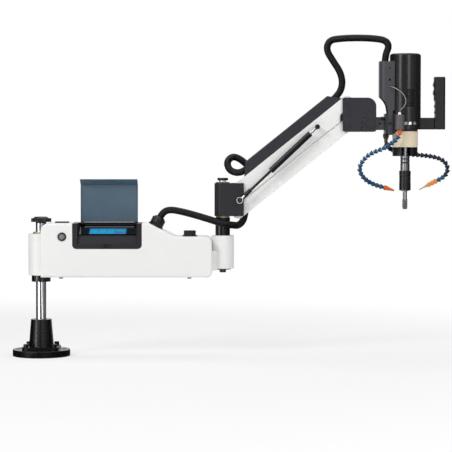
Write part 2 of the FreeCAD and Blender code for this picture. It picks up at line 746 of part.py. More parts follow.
def hose(name, route, radius):
    """A round hose: straight runs joined by arcs that are as large as the runs allow."""
    points = [Vec(*p) for p in route]
    edges = []
    smallest = None
    start = points[0]
    for before, point, after in zip(points, points[1:], points[2:]):
        back = before - point
        ahead = after - point
        half = back.getAngle(ahead) / 2
        shorter = min(back.Length, ahead.Length)
        bend = ARC_SHARE * shorter * math.tan(half)
        smallest = bend if smallest is None else min(smallest, bend)
        back.normalize()
        ahead.normalize()
        inward = (back + ahead).normalize()
        centre = point + inward * (bend / math.sin(half))
        first = point + back * (ARC_SHARE * shorter)
        last = point + ahead * (ARC_SHARE * shorter)
        edges.append(Part.makeLine(start, first))
        edges.append(Part.Arc(first, centre - inward * bend, last).toShape())
        start = last
    edges.append(Part.makeLine(start, points[-1]))
    path = Part.Wire(edges)
    heading = points[1] - points[0]
    section = Part.Wire([Part.makeCircle(radius, points[0], heading)])
    tube = path.makePipeShell([section], True, True)
    share = tube.Volume / (math.pi * radius ** 2 * path.Length)
    print(f"{name}: length {path.Length:.1f}, smallest radius {smallest:.1f}, volume share {share:.4f}")
    return tube


# ---- base --------------------------------------------------------------------------------------
def anchor_places():
    """Centres of the anchor bolts in the base disc."""
    step = 2 * math.pi / ANCHOR_COUNT
    radius = ANCHOR_PCD / 2
    return [(radius * math.cos(i * step), radius * math.sin(i * step)) for i in range(ANCHOR_COUNT)]


def socket_bolt_places():
    """Centres of the bolts in the socket's square flange."""
    return [(a * SOCKET_BOLT_OFFSET, b * SOCKET_BOLT_OFFSET) for a in (-1, 1) for b in (-1, 1)]


def build_base():
    """The base disc, the column socket bolted to it, its bolts and the column."""
    disc = rod(BASE_R, Vec(0, 0, 0), BASE_H)
    disc = rounded(disc, BASE_EDGE, lambda e: e.BoundBox.ZMin > BASE_H - 0.01)
    for x, y in anchor_places():
        disc = disc.cut(rod(ANCHOR_HOLE_R, Vec(x, y, -1), BASE_H + 2))
        disc = disc.cut(rod(ANCHOR_SEAT_R, Vec(x, y, BASE_H - ANCHOR_SEAT_DEPTH), BASE_H))
    column_hole = COLUMN_R + SEAT
    half = SOCKET_SIDE / 2
    flange = slab("XY", rectangle(-half, half, -half, half), BASE_H, BASE_H + SOCKET_FLANGE,
                  [SOCKET_CORNER] * 4)
    cone_h = SOCKET_HEIGHT - SOCKET_FLANGE
    cone = Part.makeCone(SOCKET_FOOT_R, SOCKET_TOP_R, cone_h, Vec(0, 0, BASE_H + SOCKET_FLANGE))
    socket = union(flange, cone).cut(rod(column_hole, Vec(0, 0, BASE_H - 1), SOCKET_HEIGHT + 2))
    heads = []
    for x, y in socket_bolt_places():
        socket = socket.cut(rod(SOCKET_BOLT_R + SEAT, Vec(x, y, BASE_H - 1), SOCKET_FLANGE + 2))
        socket = socket.cut(rod(SOCKET_HEAD_R + 1, Vec(x, y, BASE_H + SOCKET_FLANGE), SOCKET_HEAD_H + 1))
        disc = disc.cut(rod(SOCKET_BOLT_R + SEAT, Vec(x, y, BASE_H / 2), BASE_H))
        shank = rod(SOCKET_BOLT_R, Vec(x, y, BASE_H / 2), BASE_H / 2 + SOCKET_FLANGE)
        head = rod(SOCKET_HEAD_R, Vec(x, y, BASE_H + SOCKET_FLANGE), SOCKET_HEAD_H)
        key = hexagon(SOCKET_HEAD_R, Vec(x, y, BASE_H + SOCKET_FLANGE + SOCKET_HEAD_H / 2), SOCKET_HEAD_H)
        heads.append(union(shank, head).cut(key))
    add("base_disc", disc)
    add("column_socket", socket)
    add("socket_bolts", *heads)
    column = rod(COLUMN_R, Vec(0, 0, BASE_H), COLUMN_HEIGHT)
    stud_hole = rod(KNOB_STUD_R + RUN, Vec(0, 0, COLUMN_TOP - KNOB_STUD - 1), KNOB_STUD + 2)
    add("column", column.cut(stud_hole))


def build_knob():
    """The lobed knob that screws into the top of the column."""
    foot = COLUMN_TOP + GAP
    lobe_z = foot + KNOB_HUB
    body = rod(KNOB_R - KNOB_LOBE_R / 2, Vec(0, 0, lobe_z), KNOB_HEIGHT)
    for i in range(KNOB_LOBES):
        angle = 2 * math.pi * (i + 0.5) / KNOB_LOBES
        reach = KNOB_R + KNOB_LOBE_R / 2
        hollow = Vec(reach * math.cos(angle), reach * math.sin(angle), lobe_z - 1)
        body = body.cut(rod(KNOB_LOBE_R, hollow, KNOB_HEIGHT + 2))
        tip_angle = 2 * math.pi * i / KNOB_LOBES
        tip_reach = KNOB_R - KNOB_LOBE_R
        tip = Vec(tip_reach * math.cos(tip_angle), tip_reach * math.sin(tip_angle), lobe_z)
        body = body.fuse(rod(KNOB_LOBE_R, tip, KNOB_HEIGHT))
    dome = Part.makeCone(KNOB_R - KNOB_DOME_IN, KNOB_R - KNOB_DOME_TOP_IN, KNOB_DOME,
                         Vec(0, 0, lobe_z + KNOB_HEIGHT))
    hub = rod(COLUMN_R, Vec(0, 0, foot), KNOB_HUB)
    stud = rod(KNOB_STUD_R, Vec(0, 0, foot - KNOB_STUD), KNOB_STUD)
    add("star_knob", union(body, dome, hub, stud))


# ---- collar and first arm ----------------------------------------------------------------------
def build_collar():
    """The split collar that carries the first arm on the column, and its clamp screw."""
    collar = ring(COLLAR_R, COLUMN_R + RUN, Vec(0, 0, COLLAR_Z), COLLAR_H)
    half_split = COLLAR_SPLIT / 2
    collar = collar.cut(box(-half_split, half_split, 0, COLLAR_R + 1, COLLAR_Z - 1, COLLAR_Z + COLLAR_H + 1))
    screw_y = (COLUMN_R + COLLAR_R) / 2 + CLAMP_SCREW_OUT
    screw_z = COLLAR_Z + COLLAR_H / 2
    reach = math.sqrt(COLLAR_R ** 2 - (screw_y - CLAMP_HEAD_R) ** 2)
    seat_x = reach / 2
    collar = collar.cut(rod(CLAMP_SCREW_R + SEAT, Vec(-seat_x, screw_y, screw_z), 2 * seat_x, ALONG_X))
    collar = collar.cut(rod(CLAMP_HEAD_R + SEAT, Vec(seat_x, screw_y, screw_z), COLLAR_R, ALONG_X))
    collar = rounded(collar, COLLAR_EDGE, lambda e: is_level(e) and e.BoundBox.XMax > COLLAR_R - 1
                     and e.Length > 3 * COLLAR_R)
    shank = rod(CLAMP_SCREW_R, Vec(-seat_x, screw_y, screw_z), 2 * seat_x, ALONG_X)
    head = rod(CLAMP_HEAD_R, Vec(seat_x, screw_y, screw_z), CLAMP_HEAD_R, ALONG_X)
    add("height_collar", collar, union(shank, head))


def is_level(edge):
    """Whether an edge lies in a horizontal plane."""
    return edge.BoundBox.ZLength < 0.01


def build_arm_frame():
    """The welded frame of the first arm: a boss for the column, a box beam and a boss for the post."""
    half = BEAM_DEPTH / 2
    inner = half - BEAM_WALL
    beam = box(0, FIRST_REACH, -half, half, BEAM_Z, BEAM_Z + BEAM_HEIGHT)
    beam = beam.cut(box(0, FIRST_REACH, -inner, inner,
                        BEAM_Z + BEAM_WALL, BEAM_Z + BEAM_HEIGHT - BEAM_WALL))
    column_boss = rounded(rod(BOSS_R, Vec(0, 0, BOSS_Z), BOSS_H), BOSS_EDGE, is_level)
    post_boss = rounded(rod(POST_BOSS_R, Vec(FIRST_REACH, 0, POST_BOSS_Z), POST_BOSS_H), BOSS_EDGE, is_level)
    beam = beam.cut(rod(POST_BOSS_R, Vec(FIRST_REACH, 0, BEAM_Z - 1), POST_BOSS_Z - BEAM_Z + 1))
    frame = union(column_boss, beam, post_boss)
    bush_r = COLUMN_R + BUSH_WALL
    frame = frame.cut(rod(bush_r + SEAT, Vec(0, 0, BOSS_Z - 1), BOSS_H + 2))
    post_bore = rod(JOURNAL_R + SEAT, Vec(FIRST_REACH, 0, POST_BOSS_Z - 1), POST_BOSS_H + 2)
    add("arm_frame", frame.cut(post_bore))
    boss_top = BOSS_Z + BOSS_H
    lower = union(rod(bush_r, Vec(0, 0, BOSS_Z), BUSH_LENGTH),
                  rod(THRUST_R, Vec(0, 0, BOSS_Z - THRUST_H), THRUST_H))
    upper = union(rod(bush_r, Vec(0, 0, boss_top - BUSH_LENGTH), BUSH_LENGTH),
                  rod(BUSH_FLANGE_R, Vec(0, 0, boss_top), BUSH_FLANGE_H))
    bore = rod(COLUMN_R + RUN, Vec(0, 0, COLLAR_Z), BOSS_H + 2 * BUSH_LENGTH)
    add("column_bushes", lower.cut(bore), upper.cut(bore))


def build_post():
    """The post in the frame's far boss, with its nut, washers and top cap."""
    foot_z = POST_BOSS_Z - POST_WASHER_H - POST_NUT_H
    shank = rod(JOURNAL_R, Vec(FIRST_REACH, 0, POST_BOSS_Z), POST_BOSS_H)
    stud = rod(POST_STUD_R, Vec(FIRST_REACH, 0, foot_z), POST_BOSS_Z - foot_z)
    body = rod(POST_R, Vec(FIRST_REACH, 0, POST_Z), POST_HEIGHT)
    journal_h = LOWER_WASHER_H + BRACKET_H
    journal = rod(JOURNAL_R, Vec(FIRST_REACH, 0, POST_Z + POST_HEIGHT), journal_h)
    journal_top = POST_Z + POST_HEIGHT + journal_h
    cap_hole = rod(POST_STUD_R + SEAT, Vec(FIRST_REACH, 0, journal_top - CAP_STUD - 1), CAP_STUD + 2)
    add("post", union(shank, stud, body, journal).cut(cap_hole))
    washer_z = POST_BOSS_Z - POST_WASHER_H
    washer = ring(POST_WASHER_R, POST_STUD_R + SEAT, Vec(FIRST_REACH, 0, washer_z), POST_WASHER_H)
    nut = hexagon(POST_NUT, Vec(FIRST_REACH, 0, foot_z), POST_NUT_H)
    nut = nut.cut(rod(POST_STUD_R + SEAT, Vec(FIRST_REACH, 0, foot_z - 1), POST_NUT_H + 2))
    low = Vec(FIRST_REACH, 0, BRACKET_Z - LOWER_WASHER_H)
    lower_washer = ring(LOWER_WASHER_R, JOURNAL_R + SEAT, low, LOWER_WASHER_H)
    top = Vec(FIRST_REACH, 0, BRACKET_TOP)
    upper_washer = ring(UPPER_WASHER_R, POST_STUD_R + SEAT, top, UPPER_WASHER_H)
    neck_z = journal_top + UPPER_WASHER_H
    cap_neck = rod(CAP_NECK_R, Vec(FIRST_REACH, 0, neck_z), CAP_NECK_H)
    cap = rounded(rod(CAP_R, Vec(FIRST_REACH, 0, neck_z + CAP_NECK_H), CAP_H), CAP_EDGE, is_level)
    cap_stud = rod(POST_STUD_R, Vec(FIRST_REACH, 0, journal_top - CAP_STUD),
                   CAP_STUD + UPPER_WASHER_H + CAP_NECK_H + CAP_H / 2)
    add("post_fasteners", washer, nut, lower_washer, upper_washer, union(cap_neck, cap, cap_stud))


def case_profile():
    """The casing's outline seen from the front, and the radius at each corner."""
    points = [
        (CASE_LEFT, CASE_Z), (CASE_RIGHT, CASE_Z), (CASE_RIGHT, CASE_LOW_TOP),
        (SLOPE_END, CASE_LOW_TOP), (SLOPE_START, CASE_TOP), (CASE_LEFT, CASE_TOP),
    ]
    radii = [0, CASE_RIGHT_FOOT, CASE_RIGHT_TOP, CASE_SLOPE_ROUND, CASE_SLOPE_ROUND, CASE_LEFT_TOP]
    return points, radii


def slope_frame():
    """The hose gland's place on the slope and the slope's outward direction."""
    across = SLOPE_END - SLOPE_START
    drop = CASE_TOP - CASE_LOW_TOP
    place = Vec(SLOPE_START + across * GLAND_SLOPE_SHARE, GLAND_Y, CASE_TOP - drop * GLAND_SLOPE_SHARE)
    return place, Vec(drop, 0, across).normalize()


def build_casing():
    """The sheet casing round the beam, with its screw blocks, bottom cover, screws and port cover."""
    points, radii = case_profile()
    depth = CASE_HALF_DEPTH
    outer = slab("XZ", points, -depth, depth, radii)
    outer = rounded(outer, CASE_EDGE, lambda e: e.BoundBox.YLength < 0.01 and e.BoundBox.ZMax > CASE_Z + 1)
    wall = CASE_WALL
    slope = math.atan2(CASE_TOP - CASE_LOW_TOP, SLOPE_END - SLOPE_START)
    shift = wall * math.tan(slope / 2)
    inner_points = [
        (CASE_LEFT + wall, CASE_Z - 1), (CASE_RIGHT - wall, CASE_Z - 1),
        (CASE_RIGHT - wall, CASE_LOW_TOP - wall), (SLOPE_END - shift, CASE_LOW_TOP - wall),
        (SLOPE_START - shift, CASE_TOP - wall), (CASE_LEFT + wall, CASE_TOP - wall),
    ]
    inner_radii = [0, 0, CASE_RIGHT_TOP - wall, CASE_SLOPE_ROUND, CASE_SLOPE_ROUND, CASE_LEFT_TOP - wall]
    inner = slab("XZ", inner_points, wall - depth, depth - wall, inner_radii)
    keep_foot = box(CASE_RIGHT - CASE_RIGHT_FOOT, CASE_RIGHT, -depth, depth,
                    CASE_Z - 2, CASE_Z + CASE_RIGHT_FOOT)
    casing = outer.cut(inner.cut(keep_foot))
    casing = casing.cut(rod(BOSS_R + SEAT, Vec(0, 0, CASE_Z - 1), BOSS_Z + BOSS_H + SEAT - CASE_Z + 1))
    casing = casing.cut(rod(BUSH_FLANGE_R + 1, Vec(0, 0, CASE_Z), CASE_HIGH + 1))
    casing = casing.cut(rod(POST_BOSS_R + SEAT, Vec(FIRST_REACH, 0, CASE_Z - 1), CASE_HIGH))
    half = BEAM_DEPTH / 2 + SEAT
    casing = casing.cut(box(CASE_RIGHT - BEAM_DEPTH, CASE_RIGHT + 1, -half, half,
                            BEAM_Z - SEAT, BEAM_Z + BEAM_HEIGHT + SEAT))
    tray_outline = rectangle(TRAY_LEFT - SEAT, TRAY_RIGHT + SEAT, CASE_TOP - TRAY_FOOT - SEAT, CASE_TOP + 1)
    tray = slab("XZ", tray_outline, -depth - 1, TRAY_DEPTH - depth + SEAT, [TRAY_CORNER, TRAY_CORNER, 0, 0])
    casing = casing.cut(tray)
    button_z = CASE_TOP - BUTTON_DROP
    button_hole_r = PUSH_R + BEZEL_BARREL_WALL + SEAT
    casing = casing.cut(rod(button_hole_r, Vec(BUTTON_X, -depth - 1, button_z), wall + 2, ALONG_Y))
    place, outward = slope_frame()
    casing = casing.cut(rod(GLAND_TAIL_R + SEAT, place - outward * GLAND_TAIL, 2 * GLAND_TAIL, outward))
    blank = Vec(BLANK_X, GLAND_Y, CASE_LOW_TOP - GLAND_TAIL)
    casing = casing.cut(rod(GLAND_TAIL_R + SEAT, blank, 2 * GLAND_TAIL))
    inset = wall + SEAT
    cover_end = CASE_RIGHT - CASE_RIGHT_FOOT - SEAT
    cover = box(CASE_LEFT + inset, cover_end, inset - depth, depth - inset, CASE_Z, CASE_Z + COVER_THICK)
    cover = cover.cut(rod(BOSS_R + SEAT, Vec(0, 0, CASE_Z - 1), COVER_THICK + 2))
    blocks = []
    screws = []
    for x in FOOT_SCREW_XS:
        for side in (-1, 1):
            y = side * FOOT_SCREW_Y
            cover = cover.cut(rod(FOOT_SHANK_R + SEAT, Vec(x, y, CASE_Z - 1), COVER_THICK + 2))
            y0, y1 = sorted((side * (FOOT_SCREW_Y - COVER_BLOCK / 2), side * (depth - wall / 2)))
            foot = CASE_Z + COVER_THICK
            block = box(x - COVER_BLOCK / 2, x + COVER_BLOCK / 2, y0, y1, foot, foot + COVER_BLOCK)
            blocks.append(block.cut(rod(FOOT_SHANK_R + SEAT, Vec(x, y, foot - 1), COVER_BLOCK + 2)))
            head = rod(FOOT_SCREW_R, Vec(x, y, CASE_Z - FOOT_SCREW_H), FOOT_SCREW_H)
            shank = rod(FOOT_SHANK_R, Vec(x, y, CASE_Z - 1), COVER_THICK + COVER_BLOCK - 1)
            screws.append(union(head, shank))
    add("bottom_cover", cover)
    add("arm_casing", union(casing, *blocks))
    add("cover_screws", *screws)
    half_length = PORT_COVER_LENGTH / 2
    half_depth = PORT_COVER_DEPTH / 2
    port_outline = rectangle(PORT_COVER_X - half_length, PORT_COVER_X + half_length, -half_depth, half_depth)
    port = slab("XY", port_outline, CASE_TOP, CASE_TOP + PORT_COVER_H, [PORT_COVER_CORNER] * 4)
    port_top = CASE_TOP + PORT_COVER_H
    add("port_cover", rounded(port, PORT_COVER_EDGE, lambda e: e.BoundBox.ZMin > port_top - 0.01))


def build_electronics():
    """The servo drive on the beam and the power supply on its front."""
    top = BEAM_Z + BEAM_HEIGHT
    half = DRIVE_DEPTH / 2
    drive = box(ELECTRONICS_X, ELECTRONICS_X + DRIVE_LENGTH, -half, half, top, top + DRIVE_H)
    for i in range(int(DRIVE_LENGTH // FIN_PITCH)):
        x = ELECTRONICS_X + FIN_SLOT + i * FIN_PITCH
        drive = drive.cut(box(x, x + FIN_SLOT, -half + FIN_EDGE, half - FIN_EDGE,
                              top + DRIVE_H / 2, top + DRIVE_H + 1))
    front = -BEAM_DEPTH / 2
    supply = box(ELECTRONICS_X, ELECTRONICS_X + DRIVE_LENGTH, front - SUPPLY_DEPTH, front,
                 BEAM_Z, BEAM_Z + SUPPLY_H)
    add("drive_electronics", drive, rounded(supply, SUPPLY_EDGE, lambda e: e.BoundBox.ZLength > SUPPLY_H - 1))


def build_push_button():
    """The round push button on the casing's front, in its bezel."""
    z = CASE_TOP - BUTTON_DROP
    face = -CASE_HALF_DEPTH
    outer = rod(BEZEL_R, Vec(BUTTON_X, face - BEZEL_PROUD, z), BEZEL_PROUD, ALONG_Y)
    outer = rounded(outer, BEZEL_EDGE, lambda e: e.BoundBox.YMax < face - 0.01 and e.BoundBox.YLength < 0.01)
    barrel = rod(PUSH_R + BEZEL_BARREL_WALL, Vec(BUTTON_X, face, z), BEZEL_BARREL, ALONG_Y)
    bore_length = 1 + PUSH_LENGTH - PUSH_PROUD + PUSH_TRAVEL + PUSH_ROOM
    bore = rod(PUSH_R + RUN, Vec(BUTTON_X, face - BEZEL_PROUD - 1, z), bore_length, ALONG_Y)
    add("button_bezel", union(outer, barrel).cut(bore))
    stem = rod(PUSH_R, Vec(BUTTON_X, face - BEZEL_PROUD - PUSH_PROUD, z), PUSH_LENGTH, ALONG_Y)
    push = rounded(stem, PUSH_EDGE,
                   lambda e: e.BoundBox.YMax < face - BEZEL_PROUD and e.BoundBox.YLength < 0.01)
    add("push_button", push)


# ---- panel and lid -----------------------------------------------------------------------------
def on_panel(shape):
    """Places a piece drawn level, with the glass's front edge at the origin, on the tilted panel."""
    placed = shape.copy()
    placed.rotate(Vec(0, 0, 0), ALONG_X, PANEL_TILT)
    placed.translate(Vec(TRAY_MIDDLE, GLASS_FRONT_Y, CASE_TOP - GLASS_FRONT_DROP))
    return placed


def build_panel():
    """The panel tray let into the casing, with the screen glass and the display."""
    front = -CASE_HALF_DEPTH
    rear = front + TRAY_DEPTH
    foot = CASE_TOP - TRAY_FOOT
    top = CASE_TOP - TRAY_BELOW_TOP
    floor = foot + TRAY_BAND
    left = TRAY_LEFT + TRAY_CHEEK
    right = TRAY_RIGHT - TRAY_CHEEK
    glass_z = CASE_TOP - GLASS_FRONT_DROP
    frame = slab("XZ", rectangle(TRAY_LEFT, TRAY_RIGHT, foot, top), front, front + TRAY_FRAME,
                 [TRAY_CORNER, TRAY_CORNER, 0, 0])
    frame = frame.cut(box(left, right, front - 1, front + TRAY_FRAME + 1, floor, top + 1))
    cheek_front = front + TRAY_FRAME - TRAY_LAP
    cheeks = [box(TRAY_LEFT, left, cheek_front, rear, floor, top),
              box(right, TRAY_RIGHT, cheek_front, rear, floor, top)]
    ledge_z = glass_z - GLASS_THICK - SEAT
    lean = (ledge_z - floor) * math.tan(math.radians(90 - PANEL_TILT - LID_LIP_BEND))
    wall_y = GLASS_FRONT_Y
    wall_foot = floor - TRAY_WALL_SUNK
    wall = slab("YZ", [(wall_y - lean, wall_foot), (wall_y - lean + TRAY_SKIN, wall_foot),
                       (wall_y + TRAY_SKIN, ledge_z), (wall_y, ledge_z)],
                left - TRAY_LAP, right + TRAY_LAP)
    half = (right - left) / 2 + TRAY_LAP
    under = -GLASS_THICK - SEAT - TRAY_SKIN
    seat = box(-half, half, -SEAT_FRONT_OVER, GLASS_LENGTH + SEAT_REAR_OVER, under, -GLASS_THICK - SEAT)
    window = box(WINDOW_INSET - DISPLAY_WIDTH / 2, DISPLAY_WIDTH / 2 - WINDOW_INSET,
                 DISPLAY_INSET + WINDOW_INSET, DISPLAY_INSET + DISPLAY_LENGTH - WINDOW_INSET,
                 under - 1, 1)
    tray = union(frame, *cheeks, wall, on_panel(seat.cut(window)))
    notch_x = TRAY_MIDDLE + NOTCH_OFF
    tray = tray.cut(box(notch_x, notch_x + NOTCH_WIDTH, front - 1, front + NOTCH_DEPTH,
                        foot + NOTCH_RISE, floor + NOTCH_OPEN))
    for x in (left - LID_PIN_LENGTH / 2, right - LID_PIN_LENGTH / 2):
        tray = tray.cut(rod(LID_PIN_R + SEAT, Vec(x, HINGE_Y, HINGE_Z), LID_PIN_LENGTH, ALONG_X))
    add("panel_tray", tray)
    glass = box(-GLASS_WIDTH / 2, GLASS_WIDTH / 2, 0, GLASS_LENGTH, -GLASS_THICK, 0)
    opening = box(-DISPLAY_WIDTH / 2, DISPLAY_WIDTH / 2,
                  DISPLAY_INSET, DISPLAY_INSET + DISPLAY_LENGTH, -GLASS_THICK - 1, 1)
    add("screen_glass", on_panel(glass.cut(opening)))
    display = box(-DISPLAY_WIDTH / 2 + SEAT, DISPLAY_WIDTH / 2 - SEAT, DISPLAY_INSET + SEAT,
                  DISPLAY_INSET + DISPLAY_LENGTH - SEAT, -GLASS_THICK, -DISPLAY_SUNK)
    neck_half = DISPLAY_WIDTH / 2 - DISPLAY_NECK_INSET
    neck = box(-neck_half, neck_half, DISPLAY_INSET + DISPLAY_NECK_INSET,
               DISPLAY_INSET + DISPLAY_LENGTH - DISPLAY_NECK_INSET, under - 1, -1)
    board_half = DISPLAY_WIDTH / 2 + BOARD_SIDE_OVER
    board = box(-board_half, board_half, DISPLAY_INSET - BOARD_FRONT_OVER,
                DISPLAY_INSET + DISPLAY_LENGTH + BOARD_REAR_OVER, under - BOARD_THICK, under)
    add("display", on_panel(union(display, neck, board)))
    pins = [rod(LID_PIN_R, Vec(x, HINGE_Y, HINGE_Z), LID_PIN_LENGTH, ALONG_X)
            for x in (left - LID_PIN_LENGTH / 2, right - LID_PIN_LENGTH / 2)]
    add("lid_pins", *pins)


def build_lid():
    """The smoked lid, open upright: a flat pane with a bent lip, side skirts and two knuckles."""
    left = TRAY_MIDDLE - LID_WIDTH / 2
    right = TRAY_MIDDLE + LID_WIDTH / 2
    bend = math.radians(LID_LIP_BEND)
    half = LID_THICK / 2
    top = HINGE_Z + LID_LENGTH
    tip_y = HINGE_Y - LID_LIP * math.sin(bend)
    tip_z = top + LID_LIP * math.cos(bend)
    turn = math.radians(90 - LID_LIP_BEND)
    across_y = half * math.cos(math.pi / 2 - turn)
    across_z = half * math.sin(math.pi / 2 - turn)
    mitre = half * math.tan(bend / 2)
    pane = slab("YZ", [
        (HINGE_Y - half, HINGE_Z), (HINGE_Y + half, HINGE_Z), (HINGE_Y + half, top + mitre),
        (tip_y + across_y, tip_z + across_z), (tip_y - across_y, tip_z - across_z),
        (HINGE_Y - half, top - mitre),
    ], left, right)
    skirt_foot = HINGE_Z + KNUCKLE_R + LID_SKIRT_RISE
    skirt_top = top - LID_SKIRT_END_IN
    skirts = [box(x, x + LID_THICK, HINGE_Y - half - LID_SKIRT, HINGE_Y - half + SEAT, skirt_foot, skirt_top)
              for x in (left, right - LID_THICK)]
    knuckles = [rod(KNUCKLE_R, Vec(x, HINGE_Y, HINGE_Z), KNUCKLE_LENGTH, ALONG_X)
                for x in (left, right - KNUCKLE_LENGTH)]
    lid = union(pane, *skirts, *knuckles)
    lid = lid.cut(box(left + KNUCKLE_LENGTH, right - KNUCKLE_LENGTH, HINGE_Y - 2 * KNUCKLE_R,
                      HINGE_Y + 2 * KNUCKLE_R, HINGE_Z - 2 * KNUCKLE_R, HINGE_Z + KNUCKLE_R))
    lid = lid.cut(rod(LID_PIN_R + RUN, Vec(left - 1, HINGE_Y, HINGE_Z), KNUCKLE_LENGTH + 2, ALONG_X))
    lid = lid.cut(rod(LID_PIN_R + RUN, Vec(right - KNUCKLE_LENGTH - 1, HINGE_Y, HINGE_Z),
                      KNUCKLE_LENGTH + 2, ALONG_X))
    add("flip_lid", lid)


# ---- glands ------------------------------------------------------------------------------------
def lobed_nut(radius, height, dome, base, direction):
    """A round plastic nut with gripping flutes and a domed crown."""
    nut = Part.makeCylinder(radius, height)
    reach = radius + GLAND_FLUTE_OUT
    for i in range(GLAND_FLUTES):
        angle = 2 * math.pi * i / GLAND_FLUTES
        flute = Vec(reach * math.cos(angle), reach * math.sin(angle), -1)
        nut = nut.cut(rod(GLAND_FLUTE_R, flute, height + 2))
    crown_top_r = radius * GLAND_CROWN_TOP_SHARE
    crown = Part.makeCone(radius - GLAND_CROWN_IN, crown_top_r, dome, Vec(0, 0, height))
    nut = union(nut, crown)
    nut.Placement = FreeCAD.Placement(base, FreeCAD.Rotation(ALONG_Z, direction))
    return nut


def build_glands():
    """The hose gland on the slope and the blank gland on the low half's top."""
    place, outward = slope_frame()
    wall_side = place - outward * GLAND_TAIL
    hose_hole = rod(HOSE_R + SEAT, wall_side - outward, GLAND_TAIL + GLAND_LEAD, outward)
    body = union(
        rod(GLAND_TAIL_R, wall_side, GLAND_TAIL, outward),
        rod(GLAND_FLANGE_R, place, GLAND_FLANGE_H, outward),
        hexagon(GLAND_HEX, place + outward * GLAND_FLANGE_H, GLAND_HEX_H, outward),
    )
    nut_base = place + outward * (GLAND_FLANGE_H + GLAND_HEX_H)
    nut = lobed_nut(GLAND_NUT_R, GLAND_NUT_H, GLAND_DOME, nut_base, outward)
    base = Vec(BLANK_X, GLAND_Y, CASE_LOW_TOP)
    tail = rod(GLAND_TAIL_R, base - ALONG_Z * GLAND_TAIL, GLAND_TAIL)
    skirt = Part.makeCone(BLANK_BASE_R, BLANK_BASE_TOP_R, BLANK_BASE_H, base)
    blank_nut = Part.makeCylinder(BLANK_NUT_R, BLANK_NUT_H, base + ALONG_Z * BLANK_BASE_H)
    reach = BLANK_NUT_R + BLANK_GROOVE_OUT
    for i in range(BLANK_GROOVES):
        angle = 2 * math.pi * i / BLANK_GROOVES
        groove = base + Vec(reach * math.cos(angle), reach * math.sin(angle), BLANK_BASE_H)
        blank_nut = blank_nut.cut(rod(BLANK_GROOVE_R, groove, BLANK_NUT_H * BLANK_GROOVE_SHARE))
    add("cable_glands", body.cut(hose_hole), nut.cut(hose_hole), union(tail, skirt), blank_nut)


# ---- swivel bracket ----------------------------------------------------------------------------
def pin_with_heads(radius, head_r, head_h, half_length, x, z):
    """A pin along Y with a low head at each end."""
    shank = rod(radius, Vec(x, -half_length, z), 2 * half_length, ALONG_Y)
    near = rod(head_r, Vec(x, -half_length - head_h, z), head_h, ALONG_Y)
    far = rod(head_r, Vec(x, half_length, z), head_h, ALONG_Y)
    return union(shank, near, far)


def build_bracket():
    """The forked bracket that turns on the post, with its bushes, pins and hose clip."""
    x0 = FIRST_REACH - BRACKET_BACK
    x1 = FIRST_REACH + BRACKET_FRONT
    d = BRACKET_HALF_DEPTH
    c = BRACKET_CHAMFER
    plan = [(x0 + c, -d), (x1, -d), (x1, d), (x0 + c, d), (x0, d - c), (x0, c - d)]
    body = slab("XY", plan, BRACKET_Z, BRACKET_TOP,
                [BRACKET_ROUND, EAR_ROUND, EAR_ROUND, BRACKET_ROUND, BRACKET_ROUND, BRACKET_ROUND])
    slot = box(FIRST_REACH + BRACKET_SLOT, x1 + 1, -SLOT_HALF, SLOT_HALF, BRACKET_Z - 1, BRACKET_TOP + 1)
    bush_r = JOURNAL_R + SWIVEL_BUSH_WALL
    body = body.cut(slot).cut(rod(bush_r + SEAT, Vec(FIRST_REACH, 0, BRACKET_Z - 1), BRACKET_H + 2))
    pins = []
    for z in (UPPER_PIVOT_Z, LOWER_PIVOT_Z):
        body = body.cut(rod(PIN_R + SEAT, Vec(PIVOT_X, -d - 1, z), 2 * d + 2, ALONG_Y))
        pins.append(pin_with_heads(PIN_R, PIN_HEAD_R, PIN_HEAD_H, d, PIVOT_X, z))
    foot_x = PIVOT_X + SPRING_FOOT_OUT
    foot_z = UPPER_PIVOT_Z - SPRING_FOOT_DROP
    body = body.cut(rod(SPRING_STUD_R + SEAT, Vec(foot_x, -d - 1, foot_z), d - SLOT_HALF + 2, ALONG_Y))
    add("swivel_bracket", body)
    outer_face = SPRING_Y - SPRING_EYE_THICK / 2 - GAP
    stud = rod(SPRING_STUD_R, Vec(foot_x, outer_face, foot_z), -SLOT_HALF - 1 - outer_face, ALONG_Y)
    cap = rod(SPRING_CAP_R, Vec(foot_x, outer_face - SPRING_CAP_H, foot_z), SPRING_CAP_H, ALONG_Y)
    inner_face = SPRING_Y + SPRING_EYE_THICK / 2 + GAP
    spacer = rod(SPRING_STUD_R + SPRING_SPACER_WALL, Vec(foot_x, inner_face, foot_z),
                 -d - inner_face, ALONG_Y)
    add("link_pins", *pins, union(stud, cap, spacer))
    axis = Vec(FIRST_REACH, 0, BRACKET_Z)
    upper = Vec(FIRST_REACH, 0, BRACKET_TOP - SWIVEL_BUSH_LENGTH)
    bushes = [ring(bush_r, JOURNAL_R + RUN, foot, SWIVEL_BUSH_LENGTH) for foot in (axis, upper)]
    add("swivel_bushes", *bushes)
    build_hose_clip(x1, d)


